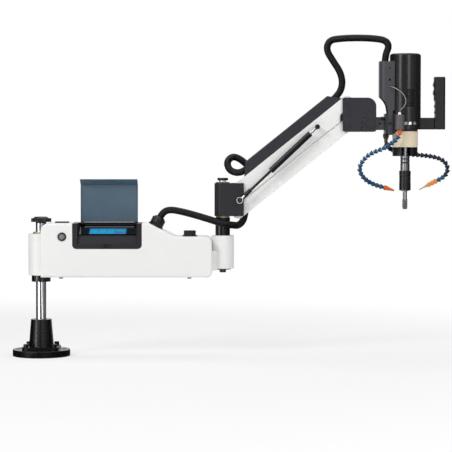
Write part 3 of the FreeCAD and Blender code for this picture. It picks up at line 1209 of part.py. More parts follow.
def build_hose_clip(ear_end, ear_face):
    """The clip that holds the lower hose behind the bracket, and its screw."""
    x, y, z = lower_hose_route()[-1]
    height = CLIP_H
    thick = CLIP_THICK
    loop = ring(HOSE_R + thick + SEAT, HOSE_R + SEAT, Vec(x, y, z - height / 2), height)
    tab_left = ear_end - CLIP_TAB
    tab = box(tab_left, x, ear_face, ear_face + thick, z - height / 2, z + height / 2)
    web = box(x - CLIP_WEB, x, ear_face, y - HOSE_R, z - height / 2, z + height / 2)
    bore = rod(HOSE_R + SEAT, Vec(x, y, z - height), 2 * height)
    head_end = ear_face + thick + CLIP_HEAD_H
    head = rod(CLIP_HEAD_R, Vec(tab_left + CLIP_SCREW_IN, ear_face + thick, z), CLIP_HEAD_H, ALONG_Y)
    head = rounded(head, CLIP_HEAD_EDGE, lambda e: e.BoundBox.YMin > head_end - 0.01)
    add("hose_clip", union(loop, tab, web).cut(bore), head)


# ---- parallelogram links -----------------------------------------------------------------------
def build_upper_link():
    """The upper link, an inverted channel with an eye at each end, and the cable cover on it."""
    w = UPPER_HALF_WIDTH
    relief = LINK_LENGTH - UPPER_RELIEF
    side = [(0, UPPER_TOP), (0, -UPPER_TOP), (UPPER_NOSE, -UPPER_FOOT), (relief, -UPPER_FOOT),
            (relief + UPPER_RELIEF_RAKE, -UPPER_TOP), (LINK_LENGTH, -UPPER_TOP), (LINK_LENGTH, UPPER_TOP)]
    body = slab("XZ", side, -w, w)
    body = union(body, rod(UPPER_TOP, Vec(0, -w, 0), 2 * w, ALONG_Y),
                 rod(UPPER_TOP, Vec(LINK_LENGTH, -w, 0), 2 * w, ALONG_Y))
    inner = w - LINK_WALL
    web_start = UPPER_END_IN + 1
    middle = box(UPPER_END_IN, LINK_LENGTH - UPPER_END_IN, -inner, inner,
                 -UPPER_FOOT - 1, UPPER_TOP - LINK_WALL)
    low_end = box(-UPPER_TOP - 1, web_start, -inner, inner, -UPPER_FOOT - 1, UPPER_TOP + 1)
    high_end = box(LINK_LENGTH - web_start, LINK_LENGTH + UPPER_TOP + 1, -inner, inner,
                   -UPPER_FOOT - 1, UPPER_TOP + 1)
    body = body.cut(middle).cut(low_end).cut(high_end)
    eyes = [rod(EYE_R, Vec(x, -SLOT_HALF + GAP, 0), 2 * (SLOT_HALF - GAP), ALONG_Y)
            for x in (0, LINK_LENGTH)]
    body = union(body, *eyes)
    for x in (0, LINK_LENGTH):
        body = body.cut(rod(PIN_R + RUN, Vec(x, -SLOT_HALF, 0), 2 * SLOT_HALF, ALONG_Y))
    stud_hole = rod(SPRING_STUD_R + SEAT, Vec(SPRING_ON_LINK, -w - 1, -SPRING_BELOW_LINE),
                    LINK_WALL + 2, ALONG_Y)
    add("upper_link", on_link(body.cut(stud_hole), UPPER_PIVOT_Z), spring_head_stud())
    top = UPPER_TOP + DUCT_HEIGHT
    duct_end = LINK_LENGTH - DUCT_END_IN
    outline = [(DUCT_START, UPPER_TOP), (duct_end, UPPER_TOP), (duct_end - DUCT_END_RAKE, top),
               (DUCT_START + DUCT_START_RAKE, top)]
    duct = slab("XZ", outline, -DUCT_HALF_WIDTH, DUCT_HALF_WIDTH)
    duct = rounded(duct, DUCT_EDGE, lambda e: e.BoundBox.ZMin > top - 0.01 and e.BoundBox.YLength < 0.01)
    hollow = box(0, LINK_LENGTH, DUCT_WALL - DUCT_HALF_WIDTH, DUCT_HALF_WIDTH - DUCT_WALL,
                 UPPER_TOP - 1, top - DUCT_WALL)
    add("cable_cover", on_link(duct.cut(hollow), UPPER_PIVOT_Z))


def build_lower_link():
    """The lower link, an upright channel with an eye at each end."""
    w = LOWER_HALF_WIDTH
    h = LOWER_HALF_HEIGHT
    body = union(box(0, LINK_LENGTH, -w, w, -h, h), rod(h, Vec(0, -w, 0), 2 * w, ALONG_Y),
                 rod(h, Vec(LINK_LENGTH, -w, 0), 2 * w, ALONG_Y))
    inner = w - LINK_WALL
    web_start = LOWER_END_IN + 1
    body = body.cut(box(LOWER_END_IN, LINK_LENGTH - LOWER_END_IN, -inner, inner, LINK_WALL - h, h + 1))
    body = body.cut(box(-h - 1, web_start, -inner, inner, -h - 1, h + 1))
    body = body.cut(box(LINK_LENGTH - web_start, LINK_LENGTH + h + 1, -inner, inner, -h - 1, h + 1))
    eyes = [rod(EYE_R, Vec(x, -SLOT_HALF + GAP, 0), 2 * (SLOT_HALF - GAP), ALONG_Y)
            for x in (0, LINK_LENGTH)]
    body = union(body, *eyes)
    for x in (0, LINK_LENGTH):
        body = body.cut(rod(PIN_R + RUN, Vec(x, -SLOT_HALF, 0), 2 * SLOT_HALF, ALONG_Y))
    add("lower_link", on_link(body, LOWER_PIVOT_Z))


def spring_ends():
    """The gas spring's foot and head in the XZ plane."""
    foot = (PIVOT_X + SPRING_FOOT_OUT, UPPER_PIVOT_Z - SPRING_FOOT_DROP)
    head = link_point(SPRING_ON_LINK, -SPRING_BELOW_LINE)
    return foot, head


def spring_head_stud():
    """The stud on the upper link that carries the gas spring's head."""
    x, z = spring_ends()[1]
    outer_face = SPRING_Y - SPRING_EYE_THICK / 2 - GAP
    link_face = -UPPER_HALF_WIDTH
    stud = rod(SPRING_STUD_R, Vec(x, outer_face, z), link_face + LINK_WALL - outer_face, ALONG_Y)
    spacer_y = SPRING_Y + SPRING_EYE_THICK / 2 + GAP
    spacer = rod(SPRING_STUD_R + SPRING_HEAD_SPACER_WALL, Vec(x, spacer_y, z), link_face - spacer_y, ALONG_Y)
    cap_face = outer_face - SPRING_HEAD_CAP_H
    cap = rod(SPRING_HEAD_CAP_R, Vec(x, cap_face, z), SPRING_HEAD_CAP_H, ALONG_Y)
    cap = rounded(cap, SPRING_HEAD_CAP_EDGE, lambda e: e.BoundBox.YMax < cap_face + 0.01)
    return union(stud, spacer, cap)


def build_gas_spring():
    """The gas spring: a cylinder with its head eye, and a rod with piston, sleeve and foot eye."""
    foot, head = spring_ends()
    length = math.hypot(head[0] - foot[0], head[1] - foot[1])
    angle = math.atan2(head[1] - foot[1], head[0] - foot[0])

    def placed(shape):
        """Puts a piece drawn along +X from the foot on the spring's line."""
        shape.rotate(Vec(0, 0, 0), ALONG_Y, -math.degrees(angle))
        shape.translate(Vec(foot[0], SPRING_Y, foot[1]))
        return shape

    start = length - CYLINDER_FITTING - CYLINDER_LENGTH
    tube = rod(CYLINDER_R, Vec(start, 0, 0), CYLINDER_LENGTH, ALONG_X)
    tube = rounded(tube, CYLINDER_EDGE, lambda e: e.BoundBox.XLength < 0.01)
    neck = rod(ROD_R, Vec(length - CYLINDER_FITTING - 1, 0, 0), CYLINDER_FITTING - 3, ALONG_X)
    eye = rod(SPRING_HEAD_EYE_R, Vec(length, -SPRING_EYE_THICK / 2, 0), SPRING_EYE_THICK, ALONG_Y)
    cylinder = union(tube, neck, eye)
    bore_start = start + CYLINDER_GUIDE
    bore_length = CYLINDER_LENGTH - CYLINDER_GUIDE - CYLINDER_END
    cylinder = cylinder.cut(rod(CYLINDER_R - CYLINDER_WALL, Vec(bore_start, 0, 0), bore_length, ALONG_X))
    cylinder = cylinder.cut(rod(ROD_R + RUN, Vec(start - 1, 0, 0), CYLINDER_GUIDE + 2, ALONG_X))
    head_hole = rod(SPRING_STUD_R + RUN, Vec(length, -SPRING_EYE_THICK, 0), 2 * SPRING_EYE_THICK, ALONG_Y)
    add("gas_cylinder", placed(cylinder.cut(head_hole)))
    bar = rod(ROD_R, Vec(0, 0, 0), start + ROD_INSIDE, ALONG_X)
    piston = rod(CYLINDER_R - CYLINDER_WALL - RUN, Vec(start + ROD_INSIDE, 0, 0), PISTON_LENGTH, ALONG_X)
    sleeve = rod(SLEEVE_R, Vec(SLEEVE_START, 0, 0), SLEEVE_LENGTH, ALONG_X)
    foot_eye = rod(SPRING_EYE_R, Vec(0, -SPRING_EYE_THICK / 2, 0), SPRING_EYE_THICK, ALONG_Y)
    foot_hole = rod(SPRING_STUD_R + SPRING_PIN_CLEARANCE, Vec(0, -SPRING_EYE_THICK, 0),
                    2 * SPRING_EYE_THICK, ALONG_Y)
    add("gas_rod", placed(union(bar, piston, sleeve, foot_eye).cut(foot_hole)))


# ---- end bracket and knuckle -------------------------------------------------------------------
def build_end_bracket():
    """The two end plates that stay level, with spacer, pins, stop bar and stop pads."""
    x0 = END_X - PLATE_BACK
    x1 = x0 + PLATE_LENGTH
    z1 = END_UPPER_Z + PLATE_ABOVE
    z0 = z1 - PLATE_HEIGHT
    inner = SLOT_HALF
    outer = SLOT_HALF + PLATE_THICK
    radii = [PLATE_CORNER, PLATE_CORNER, PLATE_NOSE, PLATE_CORNER]
    slit = slit_cutter(z0)
    spacer_x = END_X + SPACER_BACK
    screw_zs = (z0 + PLATE_SCREW_IN, z1 - PLATE_SCREW_IN)
    screw_x = spacer_x + SPACER_LENGTH / 2
    plates = []
    for side in (-1, 1):
        y0, y1 = sorted((side * inner, side * outer))
        plate = slab("XZ", rectangle(x0, x1, z0, z1), y0, y1, radii)
        for z in (END_UPPER_Z, END_LOWER_Z):
            plate = plate.cut(rod(PIN_R + SEAT, Vec(END_X, y0 - 1, z), PLATE_THICK + 2, ALONG_Y))
        plate = plate.cut(rod(STOP_R + SEAT, Vec(END_X + STOP_OUT, y0 - 1, END_UPPER_Z - STOP_DROP),
                              PLATE_THICK + 2, ALONG_Y))
        plate = plate.cut(rod(TILT_PIN_R + SEAT, Vec(TILT_X, y0 - 1, TILT_Z), PLATE_THICK + 2, ALONG_Y))
        for z in screw_zs:
            plate = plate.cut(rod(PLATE_SCREW_R + SEAT, Vec(screw_x, y0 - 1, z), PLATE_THICK + 2, ALONG_Y))
        plates.append(plate.cut(slit))
    add("end_plates", *plates)
    spacer = box(spacer_x, spacer_x + SPACER_LENGTH, -inner, inner, z0 + SPACER_INSET, z1 - SPACER_INSET)
    spacer = spacer.cut(rod(KNUCKLE_BARREL_R + KNUCKLE_ROOM, Vec(TILT_X, -inner - 1, TILT_Z),
                            2 * inner + 2, ALONG_Y))
    screws = []
    for z in screw_zs:
        spacer = spacer.cut(rod(PLATE_SCREW_R + SEAT, Vec(screw_x, -inner - 1, z), 2 * inner + 2, ALONG_Y))
        for side in (-1, 1):
            y0, y1 = sorted((side * outer, side * (outer - PLATE_SCREW_LENGTH)))
            screws.append(rod(PLATE_SCREW_R, Vec(screw_x, y0, z), y1 - y0, ALONG_Y))
    add("end_spacer", spacer)
    pins = [pin_with_heads(PIN_R, PIN_HEAD_R, PIN_HEAD_H, outer, END_X, z)
            for z in (END_UPPER_Z, END_LOWER_Z)]
    stop_bar = pin_with_heads(STOP_R, STOP_HEAD_R, STOP_HEAD_H, outer,
                              END_X + STOP_OUT, END_UPPER_Z - STOP_DROP)
    tilt_pin = pin_with_heads(TILT_PIN_R, TILT_HEAD_R, TILT_HEAD_H, outer, TILT_X, TILT_Z)
    add("end_fasteners", *pins, tilt_pin, stop_bar, *screws)
    pad_top = END_UPPER_Z - STOP_DROP + STOP_PAD_HEIGHT * STOP_PAD_TOP_SHARE
    pad_foot = pad_top - STOP_PAD_HEIGHT
    pad = [(x0 - STOP_PAD_LENGTH, pad_foot), (x0, pad_foot + STOP_PAD_FOOT_RAKE), (x0, pad_top),
           (x0 - STOP_PAD_LENGTH, pad_top - STOP_PAD_TOP_RAKE)]
    add("stop_pads", slab("XZ", pad, -outer, -inner), slab("XZ", pad, inner, outer))


def slit_cutter(plate_foot):
    """The curved clamping slit round the tilt axis, open at the plates' lower edge."""
    deep = 2 * (SLOT_HALF + PLATE_THICK) + 4
    y = -deep / 2
    band = ring(SLIT_R + SLIT_WIDTH / 2, SLIT_R - SLIT_WIDTH / 2, Vec(TILT_X, y, TILT_Z), deep, ALONG_Y)
    reach = SLIT_R + SLIT_WIDTH
    quarter = box(TILT_X - reach, TILT_X - SLIT_R * SLIT_END_SHARE, y, -y, TILT_Z, TILT_Z + reach)
    drop_x = TILT_X - SLIT_R - SLIT_WIDTH / 2
    drop = box(drop_x, drop_x + SLIT_WIDTH, y, -y, plate_foot - 1, TILT_Z)
    return union(band.common(quarter), drop)


def build_knuckle():
    """The knuckle that tilts between the end plates and carries the head's roll shaft."""
    y = SLOT_HALF - GAP
    barrel = rod(KNUCKLE_BARREL_R, Vec(TILT_X, -y, TILT_Z), 2 * y, ALONG_Y)
    half = LUG_HEIGHT / 2
    lug = box(TILT_X, TILT_X + LUG_LENGTH, -LUG_HALF_DEPTH, LUG_HALF_DEPTH, TILT_Z - half, TILT_Z + half)
    lug = rounded(lug, LUG_EDGE, lambda e: e.BoundBox.XLength > LUG_LENGTH - 1)
    knuckle = union(barrel, lug)
    knuckle = knuckle.cut(rod(TILT_PIN_R + RUN, Vec(TILT_X, -y - 1, TILT_Z), 2 * y + 2, ALONG_Y))
    shaft_x = TILT_X + LUG_LENGTH - ROLL_SHAFT_LENGTH - 1
    knuckle = knuckle.cut(rod(ROLL_SHAFT_R + RUN, Vec(shaft_x, 0, TILT_Z), ROLL_SHAFT_LENGTH + 2, ALONG_X))
    lock_x = TILT_X + LOCK_OUT
    lock_hole = rod(LOCK_R, Vec(lock_x, -LUG_HALF_DEPTH - 1, TILT_Z),
                    LUG_HALF_DEPTH - ROLL_SHAFT_R + 1, ALONG_Y)
    add("tilt_knuckle", knuckle.cut(lock_hole))
    screw_y = -LUG_HALF_DEPTH + LOCK_SUNK
    lock = rod(LOCK_R - SEAT, Vec(lock_x, screw_y, TILT_Z), -ROLL_SHAFT_R - GAP - screw_y, ALONG_Y)
    lock = lock.cut(hexagon(LOCK_KEY, Vec(lock_x, screw_y + LOCK_KEY_DEPTH, TILT_Z),
                            LOCK_KEY_DEPTH + 1, Vec(0, -1, 0)))
    plunger_z = TILT_Z + half - PLUNGER_R + PLUNGER_RISE
    plunger_y = -LUG_HALF_DEPTH - PLUNGER_R
    start = TILT_X + LUG_LENGTH - PLUNGER_LENGTH
    barrel = rod(PLUNGER_R, Vec(start, plunger_y, plunger_z), PLUNGER_LENGTH, ALONG_X)
    add("roll_lock", lock, rounded(barrel, PLUNGER_EDGE, lambda e: e.BoundBox.XMax < start + 0.01))


# ---- head --------------------------------------------------------------------------------------
def head_axis(z):
    """The point of the spindle axis at a height."""
    return Vec(HEAD_X, 0, z)


def build_gearbox():
    """The gearbox with its ring and flange, the servo motor, its encoder and the spindle guard."""
    body = rod(GEARBOX_R, head_axis(GEARBOX_FOOT_Z), GEARBOX_BODY)
    body = rounded(body, GEARBOX_EDGE, lambda e: is_level(e) and e.BoundBox.ZMax < GEARBOX_FOOT_Z + 1)
    neck = rod(GEARBOX_NECK_R, head_axis(NECK_Z), GEARBOX_NECK)
    bore = rod(SPINDLE_R + RUN, head_axis(GEARBOX_FOOT_Z - 1), SPINDLE_IN_GEARBOX + 2)
    add("gearbox", union(body, neck).cut(bore))
    block = block_solid(SEAT)
    bar = bar_solid(SEAT)
    lower = ring(RING_R, GEARBOX_NECK_R + SEAT, head_axis(NECK_Z), RING_H)
    upper = ring(FLANGE_R, GEARBOX_NECK_R + SEAT, head_axis(FLANGE_Z), FLANGE_H)
    add("gearbox_flange", union(lower, upper).cut(block).cut(bar))
    half = MOTOR_SIDE / 2
    motor = box(HEAD_X - half, HEAD_X + half, -half, half, MOTOR_Z, MOTOR_Z + MOTOR_H)
    motor = motor.common(rod(MOTOR_ROUND_R, head_axis(MOTOR_Z), MOTOR_H))
    encoder = rod(ENCODER_R, head_axis(MOTOR_Z + MOTOR_H), ENCODER_H)
    encoder = rounded(encoder, ENCODER_EDGE, lambda e: e.BoundBox.ZMin > MOTOR_Z + MOTOR_H + 1)
    add("servo_motor", union(motor, encoder))
    guard = ring(GUARD_R, GUARD_BORE_R, head_axis(GEARBOX_FOOT_Z - GUARD_H), GUARD_H)
    slot = box(HEAD_X - GUARD_SLOT / 2, HEAD_X + GUARD_SLOT / 2, -GUARD_R - 1, 0,
               GEARBOX_FOOT_Z - GUARD_H - 1, GEARBOX_FOOT_Z + 1)
    add("spindle_guard", guard.cut(slot))


def block_solid(extra):
    """The mount block's outer form, larger all round by extra."""
    return box(BLOCK_X - extra, BLOCK_X + BLOCK_LENGTH + extra, -BLOCK_HALF_DEPTH - extra,
               BLOCK_HALF_DEPTH + extra, TILT_Z - BLOCK_BELOW - extra, TILT_Z + BLOCK_ABOVE + extra)


def bar_solid(extra):
    """The handle bar's outer form, larger all round by extra."""
    left = HEAD_X + GEARBOX_NECK_R - HANDLE_BAR_LAP
    deep = HANDLE_HALF_DEPTH + extra
    return box(left, HEAD_X + GRIP_LEFT_OUT + extra, -deep, deep,
               FLANGE_Z - extra, FLANGE_Z + HANDLE_BAR_H + extra)


def build_mount():
    """The mount block on the gearbox, in one piece with the roll shaft."""
    block = block_solid(0)
    block = block.cut(rod(GEARBOX_NECK_R + SEAT, head_axis(NECK_Z), GEARBOX_NECK + 2 * SEAT))
    block = block.cut(rod(GEARBOX_R + SEAT, head_axis(GEARBOX_FOOT_Z), GEARBOX_BODY + SEAT))
    for side in (-1, 1):
        y = side * BLOCK_HALF_DEPTH
        hole = rod(CHANNEL_SCREW_R + SEAT, Vec(TILT_X + CHANNEL_SCREW_OUT, y, TILT_Z),
                   CHANNEL_THICK + CHANNEL_SCREW_IN, Vec(0, -side, 0))
        block = block.cut(hole)
    start = TILT_X + LUG_LENGTH - ROLL_SHAFT_LENGTH
    add("mount_block", union(block, rod(ROLL_SHAFT_R, Vec(start, 0, TILT_Z), BLOCK_X + 2 - start, ALONG_X)))


def side_screw_frame(angle):
    """The direction of one of the motor cover's side screws, and its axis point on the spindle axis."""
    turn = math.radians(angle)
    return Vec(math.sin(turn), -math.cos(turn), 0), head_axis(FLANGE_Z + SIDE_SCREW_RISE)


def build_motor_cover():
    """The motor cover with its vents. Returns the screws that hold it to the flange."""
    shell = rod(COVER_R, head_axis(FLANGE_Z), COVER_H)
    top = FLANGE_Z + COVER_H
    shell = rounded(shell, COVER_ROUND, lambda e: is_level(e) and e.BoundBox.ZMin > top - 0.01)
    hollow = rod(COVER_R - COVER_WALL, head_axis(FLANGE_Z - 1), COVER_H - COVER_WALL + 1)
    hollow = rounded(hollow, COVER_ROUND - COVER_WALL,
                     lambda e: is_level(e) and e.BoundBox.ZMin > top - COVER_ROUND)
    shell = shell.cut(hollow).cut(block_solid(GAP)).cut(bar_solid(GAP))
    for i in range(VENT_COUNT):
        z = FLANGE_Z + VENT_FOOT + i * VENT_PITCH
        x = HEAD_X + VENT_OUT
        shell = shell.cut(box(x - VENT_WIDTH / 2, x + VENT_WIDTH / 2, -COVER_R - 1, -COVER_R / 2,
                              z, z + VENT_H))
    screws = []
    for angle in SIDE_SCREW_ANGLES:
        outward, axis = side_screw_frame(angle)
        base = axis + outward * (FLANGE_R + SEAT)
        length = COVER_R - FLANGE_R + SIDE_SCREW_PROUD
        shell = shell.cut(rod(SIDE_SCREW_R + SEAT, base - outward * COVER_WALL, length + COVER_WALL, outward))
        screw = rod(SIDE_SCREW_R, base, length, outward)
        key_foot = base + outward * (length - SIDE_SCREW_KEY_DEPTH)
        key = hexagon(SIDE_SCREW_KEY, key_foot, SIDE_SCREW_KEY_DEPTH + 1, outward)
        screws.append(screw.cut(key))
    add("motor_cover", shell)
    return screws


def build_channel():
    """The bent sheet channel that leads the hose down to the head. Returns its two screws."""
    left = TILT_X + CHANNEL_LEFT_OUT
    right = left + CHANNEL_WIDTH
    d = CHANNEL_HALF_DEPTH
    t = CHANNEL_THICK
    foot = TILT_Z - CHANNEL_FOOT_DROP
    top = TILT_Z + CHANNEL_TOP_RISE
    r = CHANNEL_CORNER
    outer = slab("XY", rectangle(left, right, -d, d), foot, top, [r, 0, 0, r])
    inner = slab("XY", rectangle(left + t, right + 1, t - d, d - t), foot - 1, top + 1, [r - t, 0, 0, r - t])
    sheet = outer.cut(inner)
    scoop_x = TILT_X + CHANNEL_SCOOP_OUT
    scoop_z = TILT_Z + CHANNEL_SCOOP_RISE
    deep = 2 * d + 4
    strip = TILT_X + CHANNEL_STRIP_LEFT
    sheet = sheet.cut(rod(CHANNEL_SCOOP_R, Vec(scoop_x, -deep / 2, scoop_z), deep, ALONG_Y))
    sheet = sheet.cut(box(left - 1, strip, -deep / 2, deep / 2, foot - 1, scoop_z))
    strip_end = strip + CHANNEL_STRIP_WIDTH
    sheet = sheet.cut(box(strip_end, right + 1, -deep / 2, deep / 2, foot - 1, scoop_z))
    cover_clear = rod(COVER_R + CHANNEL_PLAY, head_axis(FLANGE_Z - 1), COVER_H + 2)
    sheet = sheet.cut(cover_clear)
    screw_x = TILT_X + CHANNEL_SCREW_OUT
    screws = []
    for side in (-1, 1):
        face = side * d
        inward = Vec(0, -side, 0)
        sheet = sheet.cut(rod(CHANNEL_SCREW_R + SEAT, Vec(screw_x, face + side, TILT_Z), 5, inward))
        shank = rod(CHANNEL_SCREW_R, Vec(screw_x, face, TILT_Z), t + CHANNEL_SCREW_IN, inward)
        head = rod(CHANNEL_SCREW_HEAD, Vec(screw_x, face, TILT_Z), CHANNEL_SCREW_HEAD_H, Vec(0, side, 0))
        screws.append(union(shank, head))
    for rise, width in CHANNEL_HOLES:
        z = TILT_Z + rise
        sheet = sheet.cut(box(screw_x - width / 2, screw_x + width / 2, -d - 1, t - d + 1, z, z + width))
    lead_x, _, lead_z = head_run(LEAD_RUN)[0]
    sheet = sheet.cut(rod(LEAD_R + LEAD_PLAY, Vec(lead_x, -d - 1, lead_z), t + 2, ALONG_Y))
    end = Vec(*upper_hose_route()[-1])
    clamp_z = end.z + HOSE_CLAMP_RISE
    clamp = ring(HOSE_R + HOSE_CLAMP_WALL, HOSE_R + SEAT, Vec(end.x, 0, clamp_z), HOSE_CLAMP_H)
    tab = box(left + t / 2, end.x - HOSE_R, -HOSE_CLAMP_TAB, HOSE_CLAMP_TAB,
              clamp_z, clamp_z + HOSE_CLAMP_H)
    bore = rod(HOSE_R + SEAT, Vec(end.x, 0, clamp_z - 1), HOSE_CLAMP_H + 2)
    add("cable_channel", union(sheet, clamp, tab).cut(bore))
    return screws


def build_handle():
    """The L handle: a bar from the gearbox flange and an upright grip with two thumb buttons."""
    bar = bar_solid(0)
    bar = rounded(bar, HANDLE_EDGE,
                  lambda e: e.BoundBox.XLength > GEARBOX_NECK_R / 2 and e.BoundBox.YLength < 0.01)
    bar = bar.cut(rod(GEARBOX_NECK_R + SEAT, head_axis(NECK_Z), GEARBOX_NECK))
    left = HEAD_X + GRIP_LEFT_OUT
    right = left + GRIP_WIDTH
    d = HANDLE_HALF_DEPTH
    top = FLANGE_Z + GRIP_HEIGHT
    grip = slab("XY", rectangle(left, right, -d, d), FLANGE_Z, top, [GRIP_ROUND] * 4)
    for rise in GROOVE_RISES:
        centre = Vec(left - GROOVE_R + GROOVE_DEPTH, -d - 1, FLANGE_Z + rise)
        grip = grip.cut(rod(GROOVE_R, centre, 2 * d + 2, ALONG_Y))
    grip = rounded(grip, HANDLE_EDGE, lambda e: is_level(e) and e.BoundBox.ZMin > top - 0.01)
    bezels = []
    for rise, name in zip(THUMB_RISES, ("reverse_button", "start_button")):
        z = FLANGE_Z + rise
        face = Vec(left, 0, z)
        grip = grip.cut(rod(THUMB_R + RUN, face - ALONG_X, THUMB_DEPTH + THUMB_TRAVEL + 2, ALONG_X))
        bezels.append(ring(THUMB_BEZEL_R, THUMB_R + RUN, face - ALONG_X * THUMB_BEZEL_PROUD,
                           THUMB_BEZEL_PROUD, ALONG_X))
        knob = rod(THUMB_R, face - ALONG_X * THUMB_PROUD, THUMB_PROUD + THUMB_DEPTH, ALONG_X)
        add(name, rounded(knob, THUMB_EDGE, lambda e: e.BoundBox.XMax < left - THUMB_PROUD + 0.01))
    add("handle", union(bar, grip, *bezels))


# ---- spindle -----------------------------------------------------------------------------------
def build_spindle():
    """The spindle with its quick-change chuck, the chuck's sliding sleeve, and the tap."""
    chuck_top = GEARBOX_FOOT_Z - CHUCK_TOP_GAP
    shaft = rod(SPINDLE_R, head_axis(chuck_top), CHUCK_TOP_GAP + SPINDLE_IN_GEARBOX)
    shoulder = chuck_top - CHUCK_BARREL
    barrel = rod(CHUCK_R, head_axis(shoulder), CHUCK_BARREL)
    for below, width in CHUCK_GROOVES:
        z = chuck_top - below - width
        barrel = barrel.cut(ring(CHUCK_R + 1, CHUCK_R - CHUCK_GROOVE_DEPTH, head_axis(z), width))
    core = rod(CHUCK_CORE_R, head_axis(shoulder - CHUCK_CORE), CHUCK_CORE)
    core_foot = shoulder - CHUCK_CORE
    tap_top = core_foot + TAP_SHANK_IN
    bore = rod(TAP_SHANK_R + SEAT, head_axis(core_foot - 1), tap_top - core_foot + 1)
    add("spindle", union(shaft, barrel, core).cut(bore))
    sleeve_z = shoulder - SLEEVE_H - GAP
    sleeve = rod(SLEEVE_OUTER_R, head_axis(sleeve_z), SLEEVE_H)
    sleeve = rounded(sleeve, SLEEVE_EDGE, is_level)
    for i in range(SLEEVE_RIB_COUNT):
        z = sleeve_z + SLEEVE_RIB_RISE + i * SLEEVE_RIB_PITCH
        sleeve = sleeve.cut(ring(SLEEVE_OUTER_R + 1, SLEEVE_OUTER_R - SLEEVE_RIB_DEPTH, head_axis(z),
                                 SLEEVE_RIB_PITCH / 2))
    add("chuck_sleeve", sleeve.cut(rod(CHUCK_CORE_R + RUN, head_axis(sleeve_z - 1), SLEEVE_H + 2)))
    tap_z = tap_top - TAP_SHANK
    shank = rod(TAP_SHANK_R, head_axis(tap_z), TAP_SHANK)
    thread = rod(TAP_R, head_axis(tap_z - TAP_THREAD + TAP_TIP), TAP_THREAD - TAP_TIP)
    tip = Part.makeCone(TAP_TIP_R, TAP_R, TAP_TIP, head_axis(tap_z - TAP_THREAD))
    tap = union(shank, thread, tip)
    for i in range(TAP_FLUTES):
        angle = 2 * math.pi * (i + 0.5) / TAP_FLUTES
        reach = TAP_R + TAP_FLUTE_OUT
        place = head_axis(tap_z - TAP_THREAD - 1) + Vec(reach * math.cos(angle), reach * math.sin(angle), 0)
        tap = tap.cut(rod(TAP_FLUTE_R, place, TAP_THREAD + TAP_FLUTE_RUN + 1))
    add("tap", tap)


# ---- coolant -----------------------------------------------------------------------------------
def segment(start, end):
    """One ball-and-socket segment of a modular hose: a wide collar that tapers to a ball."""
    ball_z = (end - start).Length - SEGMENT_GAP - SEGMENT_BALL_R
    taper = ball_z - SEGMENT_COLLAR
    piece = union(
        Part.makeCylinder(SEGMENT_WIDE_R, SEGMENT_COLLAR),
        Part.makeCone(SEGMENT_WIDE_R, SEGMENT_NECK_R, taper, Vec(0, 0, SEGMENT_COLLAR)),
        Part.makeSphere(SEGMENT_BALL_R, Vec(0, 0, ball_z)),
    )
    piece.Placement = FreeCAD.Placement(start, FreeCAD.Rotation(ALONG_Z, end - start))
    return piece


def fitting(top):
    """The orange union under a valve, with the ball that carries the first segment."""
    nut = rod(FITTING_R, top - ALONG_Z * FITTING_H, FITTING_H)
    neck = rod(SEGMENT_NECK_R, top - ALONG_Z * FITTING_BALL_DROP, FITTING_BALL_DROP - FITTING_H + 1)
    return union(nut, neck, Part.makeSphere(SEGMENT_BALL_R, top - ALONG_Z * FITTING_BALL_DROP))


def modular_hose(route):
    """The segments of a modular hose at an even pitch, from the ball at the route's first point."""
    line = Part.BSplineCurve()
    line.interpolate([Vec(*p) for p in route])
    first = line.parameterAtDistance(SEGMENT_BALL_R + SEGMENT_GAP, line.FirstParameter)
    line.segment(first, line.LastParameter)
    count = max(3, round(line.length() / SEGMENT_PITCH)) + 1
    places = line.toShape().discretize(Number=count)
    return [segment(a, b) for a, b in zip(places, places[1:])], places[-1], places[-1] - places[-2]


def build_coolant():
    """The two coolant valves and their modular hoses with orange fittings and nozzles."""
    valve_x = HEAD_X + VALVE_OUT
    foot = Vec(valve_x, VALVE_Y, VALVE_FOOT_Z)
    valve = rod(VALVE_R, foot, VALVE_H)
    valve = rounded(valve, VALVE_EDGE, is_level)
    plug = rod(VALVE_PLUG_R, foot + ALONG_Z * VALVE_H, VALVE_PLUG_H)
    plug = rounded(plug, VALVE_PLUG_EDGE, lambda e: e.BoundBox.ZMin > VALVE_FOOT_Z + VALVE_H + 1)
    saddle = box(valve_x - SADDLE_HALF, valve_x + SADDLE_HALF, VALVE_Y, SADDLE_IN - COVER_R,
                 VALVE_FOOT_Z + SADDLE_FOOT, VALVE_FOOT_Z + SADDLE_TOP)
    saddle = saddle.cut(rod(VALVE_R + SEAT, foot, VALVE_H))
    saddle = saddle.cut(rod(COVER_R + SEAT, head_axis(FLANGE_Z), COVER_H))
    ends = [fitting(foot)]
    rear_top = TILT_Z - BLOCK_BELOW
    rear = Vec(HEAD_X + REAR_VALVE_OUT, REAR_VALVE_Y, rear_top - REAR_VALVE_H)
    add("coolant_valves", valve, plug, saddle, rod(REAR_VALVE_R, rear, REAR_VALVE_H))
    ends.append(fitting(rear))
    segments = []
    for route, brass in ((head_run(FRONT_HOSE_RUN), 0), (head_run(REAR_HOSE_RUN), BRASS_TIP)):
        pieces, end, heading = modular_hose(route)
        segments.extend(pieces)
        heading.normalize()
        collar = rod(SEGMENT_WIDE_R, end, NOZZLE_COLLAR, heading)
        cone = Part.makeCone(SEGMENT_WIDE_R - NOZZLE_STEP, NOZZLE_TIP_R, NOZZLE_CONE,
                             end + heading * NOZZLE_COLLAR, heading)
        nozzle = union(collar, cone)
        if brass:
            foot = end + heading * BRASS_TIP_START
            tip = rod(BRASS_TIP_R, foot, brass, heading)
            nozzle = nozzle.cut(rod(BRASS_TIP_R + SEAT, foot, brass, heading))
            ends.append(tip)
        ends.append(nozzle)
    add("hose_segments", *segments)
    add("hose_ends", *ends)


